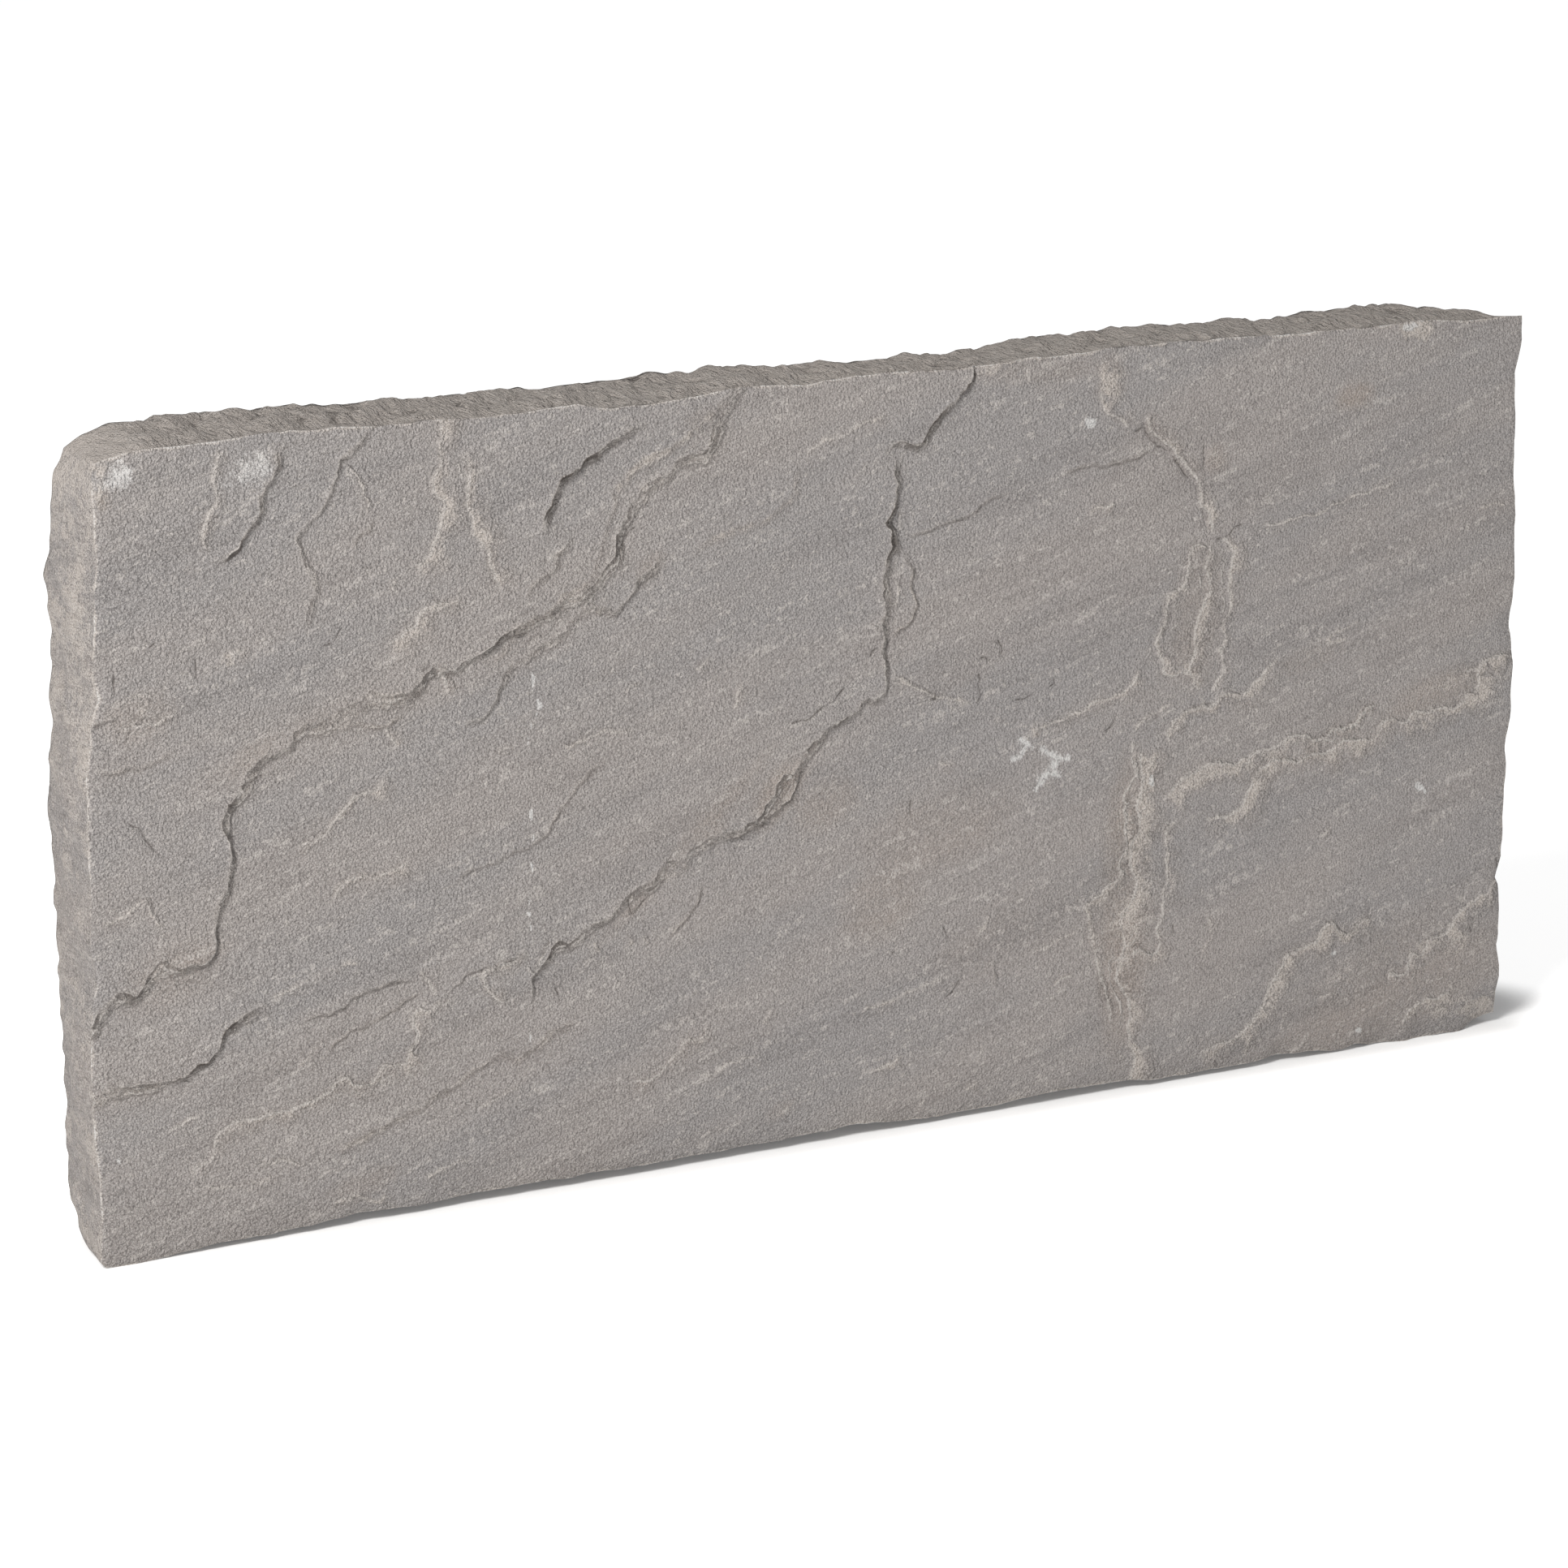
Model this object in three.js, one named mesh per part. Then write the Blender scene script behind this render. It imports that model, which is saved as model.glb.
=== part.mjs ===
// Sandstone edging stone: one riven slab standing on its long narrow edge.
// Millimetres. X runs along the length, the riven front faces -Y, Z is up from the ground.
import * as THREE from "three";

const NODE_NAME = "edging_stone";
const STONE_GREY = 0x99928d;

const HALF_LENGTH = 253;
const HALF_THICKNESS = 17.5;
const FACE_LIMIT = 18.7; // the grain of either face stands out no further than this
const ARRIS_WEAR = 0.5; // how far the worn edges of both faces are set back

const RIM_STEP = 7; // spacing of the stations round the edge
const RIM_ROWS = 6; // strips across the thickness
const LEDGE_STEP = 4.6; // spacing of the points along a ledge
const FRONT_GRID = 10.5;
const BACK_GRID = 17;
const CLEAR_OF_EDGE = 2.6; // no inner point lies closer to the edge than this
const CLOSEST_POINTS = 1.0;

// Edges of the two faces as [x, z], each side walked anticlockwise as seen from the front.
const FRONT_SIDES = {
  bottom: [
    [-252, 2], [-250, 0], [-243, 0], [-231, 0.3], [-223, 1.2], [-216, 2.2], [-206, 1.7], [-185, 2.1],
    [-170, 3.6], [-149, 2.5], [-128, 3.3], [-63, 3.3], [8, 3.8], [27, 1.8], [50, 2.1], [70, 3.6],
    [90, 3.2], [115, 1.9], [151, 2.1], [173, 2.5], [186, 0.8], [193, 2], [199, 0.3], [224, 0],
    [237, 0], [242, 2.6], [251, 3.6],
  ],
  right: [
    [251, 3.6], [251, 21], [249.7, 28], [250.3, 32], [249.8, 48], [249.6, 51], [250.8, 58], [251.1, 75],
    [252, 87], [251.7, 95], [252.6, 105], [252.8, 127], [252.2, 139], [253, 151], [252.7, 176],
    [251.8, 190], [251.3, 204], [250.7, 220], [251.1, 224], [253, 231], [252.8, 239.5],
  ],
  top: [
    [252.8, 239.5], [232, 239.6], [221, 240.5], [200, 240.6], [162, 240.9], [145, 241.4], [111, 241.9],
    [91, 241.5], [60, 240.8], [41, 240.1], [1, 240.6], [-16, 239.4], [-39, 240.4], [-55, 239],
    [-73, 238.4], [-82, 238], [-94, 240.6], [-109, 239.3], [-138, 239.8], [-159, 239.7], [-189, 240.9],
    [-203, 240], [-228, 239.3], [-236, 237.8], [-242, 235.5],
  ],
  left: [
    [-242, 235.5], [-244.8, 232], [-246, 226], [-246.6, 217], [-246.4, 208], [-247.6, 190], [-248.3, 175],
    [-246.2, 168.5], [-248.8, 162], [-251.1, 146], [-251.2, 119], [-252.1, 98], [-250.6, 89],
    [-252.7, 74], [-253, 62], [-253, 51], [-252, 36], [-251.2, 25], [-251.8, 8], [-252, 2],
  ],
};
const BACK_SIDES = {
  bottom: [
    [-246, 3], [-236, 0.3], [-215, 0.8], [-180, 2.4], [-140, 3.6], [-95, 2.6], [-50, 3.9], [40, 2],
    [85, 3.4], [130, 2.4], [170, 1.5], [200, 0.2], [230, 0.2], [242, 2.6], [247.5, 7],
  ],
  right: [
    [247.5, 7], [249.5, 20], [251, 45], [250.2, 80], [251.6, 110], [250.6, 150], [251.8, 185],
    [250.4, 215], [247.5, 233],
  ],
  top: [
    [247.5, 233], [241, 239.3], [231, 239.8], [221, 241], [200, 241.2], [159, 240.3], [108, 241.5],
    [72, 239.9], [48, 237.9], [11, 239.4], [-8, 239.7], [-20, 241.9], [-27, 240.7], [-57, 240.4],
    [-93, 240], [-146, 240.2], [-160, 241.2], [-199, 242], [-213, 241.7], [-218, 240.5],
    [-229, 241], [-235.5, 238.7], [-241, 235.5],
  ],
  left: [
    [-241, 235.5], [-244.2, 226.5], [-246.2, 210], [-247.7, 198], [-247.2, 186], [-248.2, 155],
    [-249.3, 136], [-248.9, 110], [-248.4, 85], [-247.6, 60], [-247.4, 30], [-247.4, 12], [-246, 3],
  ],
};

// Bulge of each narrow side at mid thickness, and the depth of its hand-dressed hollows.
const SIDE_SHAPE = {
  bottom: { bulge: 1.2, hollow: 0.5, seed: 31 },
  right: { bulge: 1.4, hollow: 1.1, seed: 32 },
  top: { bulge: 0.9, hollow: 1.2, seed: 33 },
  left: { bulge: 0.9, hollow: 0.8, seed: 34 },
};
const HOLLOW_LENGTH = 19;
const HOLLOW_WIDTH = 11;

// Ledges of the front, where one bedding layer stops. The higher layer is on the left hand of the
// walk. drop is the step in height, scarp its width, and reach how far it takes to blend away.
const FRONT_LEDGES = [
  {
    drop: 2.4, scarp: 3.2, reach: 24,
    line: [
      [-253, 74], [-244, 83], [-239, 81], [-231, 88], [-219, 88.5], [-216, 96], [-211.5, 110],
      [-210.5, 135], [-206, 137.5], [-200, 145.5], [-189, 151.5], [-175, 156.5], [-162, 161.5],
      [-151, 159.5], [-140, 167.5], [-118, 176], [-98, 182.5], [-88, 186], [-81, 200.5],
      [-75, 210.5], [-57, 221.5], [-49, 225.5], [-45, 233.5], [-40, 240],
    ],
  },
  {
    drop: 0.8, scarp: 2, reach: 10,
    line: [
      [-136, 148], [-127, 150.5], [-116, 164.5], [-98, 173.5], [-88, 179.5], [-78, 180.5],
      [-71, 187.5], [-63.5, 193.5],
    ],
  },
  { drop: 0.5, scarp: 1.4, reach: 8, line: [[-173, 153], [-165, 152], [-156.5, 151.5], [-150, 154.5]] },
  {
    drop: 2.2, scarp: 1.4, reach: 15,
    line: [
      [-107.5, 201.5], [-105, 208], [-101, 217.5], [-90.5, 225], [-77.5, 230], [-70, 234.5],
    ],
  },
  { drop: 0.8, scarp: 1.4, reach: 9, line: [[-112.5, 183.5], [-102.5, 192.5], [-94.5, 203.5]] },
  {
    drop: 2.6, scarp: 2.2, reach: 22,
    line: [
      [-114.5, 58.5], [-115, 70], [-105, 76.5], [-94, 80], [-81, 87.5], [-64.5, 97], [-59, 96],
      [-50.5, 102.5], [-32, 110.5], [-20, 123], [-11, 130], [-7.5, 137], [1, 137.5], [9, 142],
      [9.5, 153.5], [12, 168], [12, 181], [15, 186], [12.5, 198.5], [17, 215.5],
    ],
  },
  { drop: 0.8, scarp: 1.4, reach: 7, line: [[-48.5, 101], [-29.5, 105.5], [-19.5, 115.5], [-16.5, 126]] },
  {
    drop: 2.2, scarp: 1.8, reach: 18,
    line: [[10, 218.5], [24.5, 218.5], [31.5, 226.5], [40, 234], [42, 240]],
  },
  {
    drop: 0.6, scarp: 1.3, reach: 6,
    line: [[11.5, 160.5], [20, 161.5], [22.5, 168.5], [21.5, 178.5], [18, 183.5]],
  },
  { drop: 0.6, scarp: 1.3, reach: 9, line: [[17.5, 190.5], [44.5, 194.5], [52, 199.5], [59, 199.5]] },
  { drop: 0.6, scarp: 1.3, reach: 9, line: [[74, 203], [86.5, 206], [96.5, 205.5], [111.5, 209.5]] },
  {
    drop: 2.1, scarp: 1.5, reach: 15,
    line: [[-253, 50.5], [-231, 55], [-218, 59], [-204, 69], [-195, 73.5]],
  },
  { drop: 0.8, scarp: 1.4, reach: 10, line: [[-189, 65], [-174, 68], [-159, 73], [-148, 74]] },
  { drop: 0.8, scarp: 1.4, reach: 9, line: [[-141, 66.5], [-133, 72], [-112, 76.5]] },
  {
    drop: 0.7, scarp: 1.4, reach: 10,
    line: [
      [-178.5, 22], [-167, 27], [-148, 34], [-127, 44], [-116, 43.5], [-106.5, 49.5], [-94, 53.5],
    ],
  },
  {
    drop: 1, scarp: 1.4, reach: 10,
    line: [
      [-211.5, 207], [-203.5, 208.5], [-195, 217.5], [-196.5, 223], [-189.5, 231], [-189.5, 240.5],
    ],
  },
  {
    drop: 0.8, scarp: 1.4, reach: 11,
    line: [
      [-184, 181], [-180, 194.5], [-184.5, 209.5], [-176, 218], [-170.5, 231], [-158.5, 240.5],
    ],
  },
  { drop: 0.6, scarp: 1.8, reach: 10, line: [[-137, 240], [-139.5, 226.5], [-139, 214], [-144.5, 191]] },
  { drop: 0.6, scarp: 1.8, reach: 10, line: [[-131.5, 230], [-131.5, 216], [-124.5, 199], [-120.5, 185]] },
  {
    drop: 0.7, scarp: 1.6, reach: 10,
    line: [
      [-137, 66], [-151, 61], [-149, 54.5], [-160, 47], [-172.5, 45.5], [-187, 41], [-207, 38],
      [-216, 32], [-222, 26], [-221, 21],
    ],
  },
  { drop: 0.7, scarp: 1.3, reach: 8, line: [[-112, 76.5], [-127, 71.5], [-126, 66.5], [-119.5, 59.5]] },
  {
    drop: 1.6, scarp: 1.6, reach: 18,
    line: [[104, 220.5], [111.5, 210], [121, 202], [129.5, 188.5], [133, 177.5]],
  },
  { drop: 0.8, scarp: 1.4, reach: 9, line: [[87.5, 228.5], [91.5, 222], [100.5, 214.5]] },
  {
    drop: 0.9, scarp: 1.6, reach: 10,
    line: [
      [132.5, 177.5], [123.5, 172], [121, 165], [116, 157.5], [112.5, 141], [116.5, 135.5],
    ],
  },
  {
    drop: 0.7, scarp: 1.6, reach: 9,
    line: [[132, 175], [129.5, 168], [132, 160], [126.5, 141], [126.5, 134.5], [131.5, 128]],
  },
  { drop: 0.8, scarp: 3, reach: 12, line: [[140.5, 172], [138, 152], [135, 140], [138, 135]] },
  {
    drop: 0.8, scarp: 1.5, reach: 8,
    line: [
      [104.5, 117.5], [102, 111.5], [103, 101], [100, 94], [101.5, 80], [97.5, 69.5], [87, 63.5],
      [88.5, 54], [93.5, 36], [97, 22.5],
    ],
  },
  {
    drop: 1.5, scarp: 6, reach: 18,
    line: [[105.5, 113.5], [104.5, 92], [104, 72], [100, 47], [100, 34], [104, 14], [103.5, 3]],
  },
  { drop: 0.7, scarp: 3, reach: 10, line: [[118.5, 90], [114, 75], [114, 55], [106, 49], [102, 44]] },
  {
    drop: 0.9, scarp: 2, reach: 12,
    line: [
      [200, 116.5], [186, 109], [149, 108], [148, 103], [121, 99.5], [113, 93],
    ],
  },
  {
    drop: 0.8, scarp: 2, reach: 12,
    line: [
      [252, 127], [239, 122.5], [237.5, 114.5], [206, 110.5], [196, 106], [168, 102], [149, 98],
      [129, 83.5],
    ],
  },
  {
    drop: 0.7, scarp: 1.6, reach: 10,
    line: [[161, 137.5], [150, 128.5], [123, 123], [116.5, 116], [118, 111.5]],
  },
  {
    drop: 1.6, scarp: 2.4, reach: 16,
    line: [
      [201, 43.5], [181.5, 42.5], [164, 34], [158, 25.5], [148.5, 13.5], [128.5, 7],
    ],
  },
  {
    drop: 0.9, scarp: 1.8, reach: 12,
    line: [[250, 49.5], [229.5, 41], [219, 32], [214, 21.5], [204, 21]],
  },
];

// Ledges of the back, walked the same way in x and z.
const BACK_LEDGES = [
  { drop: 1.3, scarp: 2.4, reach: 24, line: [[-200, 238], [-176, 190], [-130, 158], [-118, 96], [-60, 60]] },
  { drop: 1.1, scarp: 2, reach: 20, line: [[30, 6], [62, 58], [118, 84], [150, 150], [206, 176]] },
  { drop: 0.8, scarp: 1.8, reach: 14, line: [[-20, 200], [24, 176], [70, 182], [110, 214]] },
];

// Places where the edge of the front has spalled away: centre, radius and depth.
const FRONT_SPALLS = [
  { x: -249, z: 238, radius: 17, depth: 2.4 },
  { x: -251, z: 166, radius: 10, depth: 1.0 },
  { x: 211, z: 243, radius: 10, depth: 1.4 },
  { x: -50, z: 242, radius: 8, depth: 0.9 },
  { x: 250, z: 2, radius: 15, depth: 2.0 },
  { x: 252, z: 52, radius: 6, depth: 0.8 },
];
const BACK_SPALLS = [
  { x: 250, z: 238, radius: 22, depth: 2.6 },
  { x: -248, z: 6, radius: 16, depth: 2.2 },
  { x: -20, z: 2, radius: 18, depth: 1.6 },
];

// --- Repeatable noise ---------------------------------------------------------------------------

function latticeValue(i, j, seed) {
  let h = Math.imul(i, 374761393) + Math.imul(j, 668265263) + Math.imul(seed, 974634777);
  h = Math.imul(h ^ (h >>> 13), 1274126177);
  h ^= h >>> 16;
  return (h >>> 0) / 2147483648 - 1;
}

// Smooth noise from -1 to 1 over a lattice of unit cells.
function noise(u, v, seed) {
  const i = Math.floor(u);
  const j = Math.floor(v);
  const a = fade(u - i);
  const b = fade(v - j);
  const low = mix(latticeValue(i, j, seed), latticeValue(i + 1, j, seed), a);
  const high = mix(latticeValue(i, j + 1, seed), latticeValue(i + 1, j + 1, seed), a);
  return mix(low, high, b);
}

function fade(t) {
  return t * t * (3 - 2 * t);
}

function mix(a, b, t) {
  return a + (b - a) * t;
}

function clamp(value, low, high) {
  return Math.min(high, Math.max(low, value));
}

// --- Lines in the plane of a face ---------------------------------------------------------------

function stepBetween([ax, az], [bx, bz]) {
  return Math.hypot(bx - ax, bz - az);
}

function lineLength(line) {
  let total = 0;
  for (let k = 1; k < line.length; k += 1) {
    total += stepBetween(line[k - 1], line[k]);
  }
  return total;
}

// The point a given distance along a line, with the direction of travel there.
function pointAlong(line, distance) {
  let left = distance;
  for (let k = 1; k < line.length; k += 1) {
    const step = stepBetween(line[k - 1], line[k]);
    if (left <= step || k === line.length - 1) {
      const t = Math.min(left / step, 1);
      const [ax, az] = line[k - 1];
      const [bx, bz] = line[k];
      return { x: mix(ax, bx, t), z: mix(az, bz, t), dx: (bx - ax) / step, dz: (bz - az) / step };
    }
    left -= step;
  }
  throw new Error("a line needs two points");
}

// Signed distance to a line, positive on the left hand of the walk, and the share walked so far.
function nearestOnLine(line, x, z) {
  let best = { distance: Infinity, walked: 0, side: 1 };
  let walked = 0;
  for (let k = 1; k < line.length; k += 1) {
    const [ax, az] = line[k - 1];
    const step = stepBetween(line[k - 1], line[k]);
    const dx = (line[k][0] - ax) / step;
    const dz = (line[k][1] - az) / step;
    const t = clamp((x - ax) * dx + (z - az) * dz, 0, step);
    const distance = Math.hypot(x - ax - dx * t, z - az - dz * t);
    if (distance < best.distance) {
      const side = dx * (z - az) - dz * (x - ax) < 0 ? -1 : 1;
      best = { distance, walked: walked + t, side };
    }
    walked += step;
  }
  return { signed: best.distance * best.side, share: best.walked / walked };
}

function isInside(polygon, x, z) {
  let inside = false;
  for (let k = 0, last = polygon.length - 1; k < polygon.length; last = k, k += 1) {
    const [ax, az] = polygon[k];
    const [bx, bz] = polygon[last];
    if (az > z !== bz > z && x < ((bx - ax) * (z - az)) / (bz - az) + ax) {
      inside = !inside;
    }
  }
  return inside;
}

// --- Relief of the faces ------------------------------------------------------------------------

// How far one ledge lifts a point: up on its high side, down on its low side, blending away.
function ledgeRise({ line, drop, scarp, reach }, x, z) {
  const { signed, share } = nearestOnLine(line, x, z);
  const ends = fade(clamp(Math.min(share, 1 - share) * 8, 0, 1));
  const across = fade(clamp(signed / scarp + 0.5, 0, 1)) - 0.5;
  return drop * ends * across * Math.exp(-Math.abs(signed) / reach);
}

function spallDepth(spalls, x, z) {
  let depth = 0;
  for (const spall of spalls) {
    const ratio = Math.hypot(x - spall.x, z - spall.z) / spall.radius;
    depth = Math.max(depth, spall.depth * (1 - ratio * ratio));
  }
  return depth;
}

function faceRise(ledges, spalls, seed, x, z) {
  const broad = 0.6 * noise(x / 120, z / 85, seed) + 0.3 * noise(x / 42, z / 30, seed + 1);
  const ledgeSum = ledges.reduce((sum, ledge) => sum + ledgeRise(ledge, x, z), 0);
  return broad + ledgeSum - spallDepth(spalls, x, z);
}

function frontDepth(x, z, wear = 0) {
  const rise = faceRise(FRONT_LEDGES, FRONT_SPALLS, 11, x, z);
  return clamp(-HALF_THICKNESS - rise + wear, -FACE_LIMIT, 0);
}

function backDepth(x, z, wear = 0) {
  const rise = faceRise(BACK_LEDGES, BACK_SPALLS, 21, x, z);
  return clamp(HALF_THICKNESS + rise - wear, 0, FACE_LIMIT);
}

// --- Points of the faces ------------------------------------------------------------------------

// Both outlines get the same number of stations on each side, so a strip can join them.
function makeStations() {
  const stations = [];
  for (const side of Object.keys(FRONT_SIDES)) {
    const frontLine = FRONT_SIDES[side];
    const backLine = BACK_SIDES[side];
    const count = Math.round(lineLength(frontLine) / RIM_STEP);
    for (let k = 0; k < count; k += 1) {
      const front = pointAlong(frontLine, (lineLength(frontLine) * k) / count);
      const back = pointAlong(backLine, (lineLength(backLine) * k) / count);
      stations.push({ side, share: k / count, length: lineLength(frontLine), front, back });
    }
  }
  return stations;
}

// Keeps points clear of the outline and of one another.
function makeSieve(outline) {
  const closed = outline.concat([outline[0]]);
  const kept = [];
  return {
    kept,
    offer(x, z, spacing) {
      const clearOfEdge = isInside(outline, x, z)
        && Math.abs(nearestOnLine(closed, x, z).signed) > CLEAR_OF_EDGE;
      if (clearOfEdge && kept.every(([px, pz]) => (px - x) ** 2 + (pz - z) ** 2 > spacing ** 2)) {
        kept.push([x, z]);
      }
    },
  };
}

// Pairs of points on the lip and the foot of every ledge.
function offerLedgePoints(sieve, ledges) {
  for (const { line, scarp } of ledges) {
    const length = lineLength(line);
    const count = Math.max(2, Math.round(length / LEDGE_STEP));
    for (let k = 0; k <= count; k += 1) {
      const { x, z, dx, dz } = pointAlong(line, (length * k) / count);
      for (const offset of [scarp / 2, -scarp / 2]) {
        sieve.offer(x - dz * offset, z + dx * offset, CLOSEST_POINTS);
      }
    }
  }
}

function offerGridPoints(sieve, spacing, seed) {
  const columns = Math.ceil(HALF_LENGTH / spacing);
  const rows = Math.ceil(250 / (spacing * 0.87));
  for (let j = 0; j <= rows; j += 1) {
    for (let i = -columns; i <= columns; i += 1) {
      const x = (i + (j % 2) / 2 + 0.22 * latticeValue(i, j, seed)) * spacing;
      const z = (j + 0.22 * latticeValue(i, j, seed + 1)) * spacing * 0.87;
      sieve.offer(x, z, spacing * 0.62);
    }
  }
}

// --- Delaunay triangulation ---------------------------------------------------------------------

function circledTriangle(points, a, b, c) {
  const [ax, az] = points[a];
  const bx = points[b][0] - ax;
  const bz = points[b][1] - az;
  const cx = points[c][0] - ax;
  const cz = points[c][1] - az;
  const area = 2 * (bx * cz - bz * cx);
  const ux = (cz * (bx * bx + bz * bz) - bz * (cx * cx + cz * cz)) / area;
  const uz = (bx * (cx * cx + cz * cz) - cx * (bx * bx + bz * bz)) / area;
  return { corners: [a, b, c], x: ax + ux, z: az + uz, reach2: ux * ux + uz * uz };
}

// Adds one point: the triangles whose circle holds it make way for a fan round it.
function insertPoint(points, triangles, index) {
  const [x, z] = points[index];
  const kept = [];
  const border = new Map();
  for (const triangle of triangles) {
    if ((triangle.x - x) ** 2 + (triangle.z - z) ** 2 >= triangle.reach2) {
      kept.push(triangle);
      continue;
    }
    triangle.corners.forEach((from, k) => {
      const to = triangle.corners[(k + 1) % 3];
      if (!border.delete(`${to},${from}`)) {
        border.set(`${from},${to}`, [from, to]);
      }
    });
  }
  for (const [from, to] of border.values()) {
    kept.push(circledTriangle(points, from, to, index));
  }
  return kept;
}

// Anticlockwise triangles over the points, kept where they lie inside the outline.
function triangulate(points, outline) {
  const count = points.length;
  const all = points.concat([[-6000, -4000], [6000, -4000], [0, 8000]]);
  let triangles = [circledTriangle(all, count, count + 1, count + 2)];
  for (let index = 0; index < count; index += 1) {
    triangles = insertPoint(all, triangles, index);
  }
  return triangles.map(({ corners }) => corners).filter((corners) => {
    const x = corners.reduce((sum, k) => sum + all[k][0], 0) / 3;
    const z = corners.reduce((sum, k) => sum + all[k][1], 0) / 3;
    return corners.every((k) => k < count) && isInside(outline, x, z);
  });
}

// --- Pieces of the surface ----------------------------------------------------------------------

function makeFace(outline, ledges, grid, seed, depthAt) {
  const sieve = makeSieve(outline);
  offerLedgePoints(sieve, ledges);
  offerGridPoints(sieve, grid, seed);
  const plan = outline.concat(sieve.kept);
  const vertices = plan.map(([x, z], k) => {
    const wear = k < outline.length ? ARRIS_WEAR : 0;
    return [x, depthAt(x, z, wear), z];
  });
  return { vertices, triangles: triangulate(plan, outline) };
}

// Outward shift of a narrow side at one station and one share of the thickness.
function rimShift({ side, share, length }, across) {
  const { bulge, hollow, seed } = SIDE_SHAPE[side];
  const arch = Math.sin(Math.PI * across);
  const corner = fade(clamp(Math.min(share, 1 - share) * length / 12, 0, 1));
  const scallop = noise((share * length) / HOLLOW_LENGTH, (across * 35) / HOLLOW_WIDTH + 0.4, seed);
  return arch * (bulge * (0.4 + 0.6 * corner) + hollow * scallop);
}

// A point of the narrow sides. The bottom is ground flat where it would dip below the ground.
function rimPoint(station, frontPoint, backPoint, across) {
  const shift = rimShift(station, across);
  const { dx, dz } = station.front;
  const x = mix(frontPoint[0], backPoint[0], across) + dz * shift;
  const y = mix(frontPoint[1], backPoint[1], across);
  const z = mix(frontPoint[2], backPoint[2], across) - dx * shift;
  return [clamp(x, -HALF_LENGTH, HALF_LENGTH), y, Math.max(z, 0)];
}

// Strips that join the front outline to the back outline; both are the first points of a face.
function makeRim(stations, front, back, firstInner, firstBack) {
  const vertices = [];
  const count = stations.length;
  for (let row = 1; row < RIM_ROWS; row += 1) {
    stations.forEach((station, k) => {
      vertices.push(rimPoint(station, front[k], back[k], row / RIM_ROWS));
    });
  }
  const indexOf = (row, k) => {
    const wrapped = k % count;
    if (row === 0) {
      return wrapped;
    }
    return row === RIM_ROWS ? firstBack + wrapped : firstInner + (row - 1) * count + wrapped;
  };
  const triangles = [];
  for (let row = 0; row < RIM_ROWS; row += 1) {
    for (let k = 0; k < count; k += 1) {
      const [a, b] = [indexOf(row, k), indexOf(row, k + 1)];
      const [d, c] = [indexOf(row + 1, k), indexOf(row + 1, k + 1)];
      triangles.push([a, c, b], [a, d, c]);
    }
  }
  return { vertices, triangles };
}

// --- The stone ----------------------------------------------------------------------------------

function makeStoneGeometry() {
  const stations = makeStations();
  const frontOutline = stations.map(({ front }) => [front.x, front.z]);
  const backOutline = stations.map(({ back }) => [back.x, back.z]);
  const front = makeFace(frontOutline, FRONT_LEDGES, FRONT_GRID, 41, frontDepth);
  const back = makeFace(backOutline, BACK_LEDGES, BACK_GRID, 43, backDepth);
  const firstBack = front.vertices.length;
  const firstInner = firstBack + back.vertices.length;
  const rim = makeRim(stations, front.vertices, back.vertices, firstInner, firstBack);
  const vertices = [...front.vertices, ...back.vertices, ...rim.vertices];
  const backTriangles = back.triangles.map(([a, b, c]) => [firstBack + a, firstBack + c, firstBack + b]);
  const triangles = [...front.triangles, ...backTriangles, ...rim.triangles];

  const geometry = new THREE.BufferGeometry();
  geometry.setAttribute("position", new THREE.Float32BufferAttribute(vertices.flat(), 3));
  geometry.setIndex(triangles.flat());
  geometry.computeVertexNormals();
  return geometry;
}

function makeStone() {
  const material = new THREE.MeshStandardMaterial({ color: STONE_GREY, roughness: 0.95, flatShading: true });
  const stone = new THREE.Mesh(makeStoneGeometry(), material);
  stone.name = NODE_NAME;
  return stone;
}

const model = new THREE.Group();
model.add(makeStone());

export default model;
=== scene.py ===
"""Looks of the sandstone edging stone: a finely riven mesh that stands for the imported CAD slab.

Tables are in millimetres, as (x, z) in the plane of a face; Blender gets metres.
"""
import math

import bpy
import numpy as np
from mathutils import Euler, Matrix, Vector, geometry


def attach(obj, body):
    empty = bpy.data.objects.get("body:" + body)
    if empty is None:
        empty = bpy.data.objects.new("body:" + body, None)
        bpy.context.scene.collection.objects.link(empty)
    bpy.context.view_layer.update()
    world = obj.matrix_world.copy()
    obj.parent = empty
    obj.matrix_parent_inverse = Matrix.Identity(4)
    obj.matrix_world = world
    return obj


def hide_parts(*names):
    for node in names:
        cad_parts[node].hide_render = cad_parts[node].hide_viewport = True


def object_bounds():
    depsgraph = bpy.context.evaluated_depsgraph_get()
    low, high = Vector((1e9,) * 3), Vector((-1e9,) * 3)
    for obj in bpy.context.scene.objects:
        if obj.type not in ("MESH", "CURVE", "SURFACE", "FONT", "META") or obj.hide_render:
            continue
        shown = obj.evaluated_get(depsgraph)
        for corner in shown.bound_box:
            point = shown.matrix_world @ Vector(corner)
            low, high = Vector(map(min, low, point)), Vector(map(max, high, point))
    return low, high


MM = 0.001
NODE = "edging_stone"

# --- The stone ------------------------------------------------------------------------------------

HALF_LENGTH = 253.0
HALF_THICKNESS = 17.5
FACE_LIMIT = 18.7  # furthest that a face stands out from mid thickness
STONE_HEIGHT = 243.0
ARRIS_WEAR = 0.5  # how far the worn edges of both faces are set back
ARRIS_WIDTH = 0.6  # how far in from the edge that wear reaches

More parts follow.
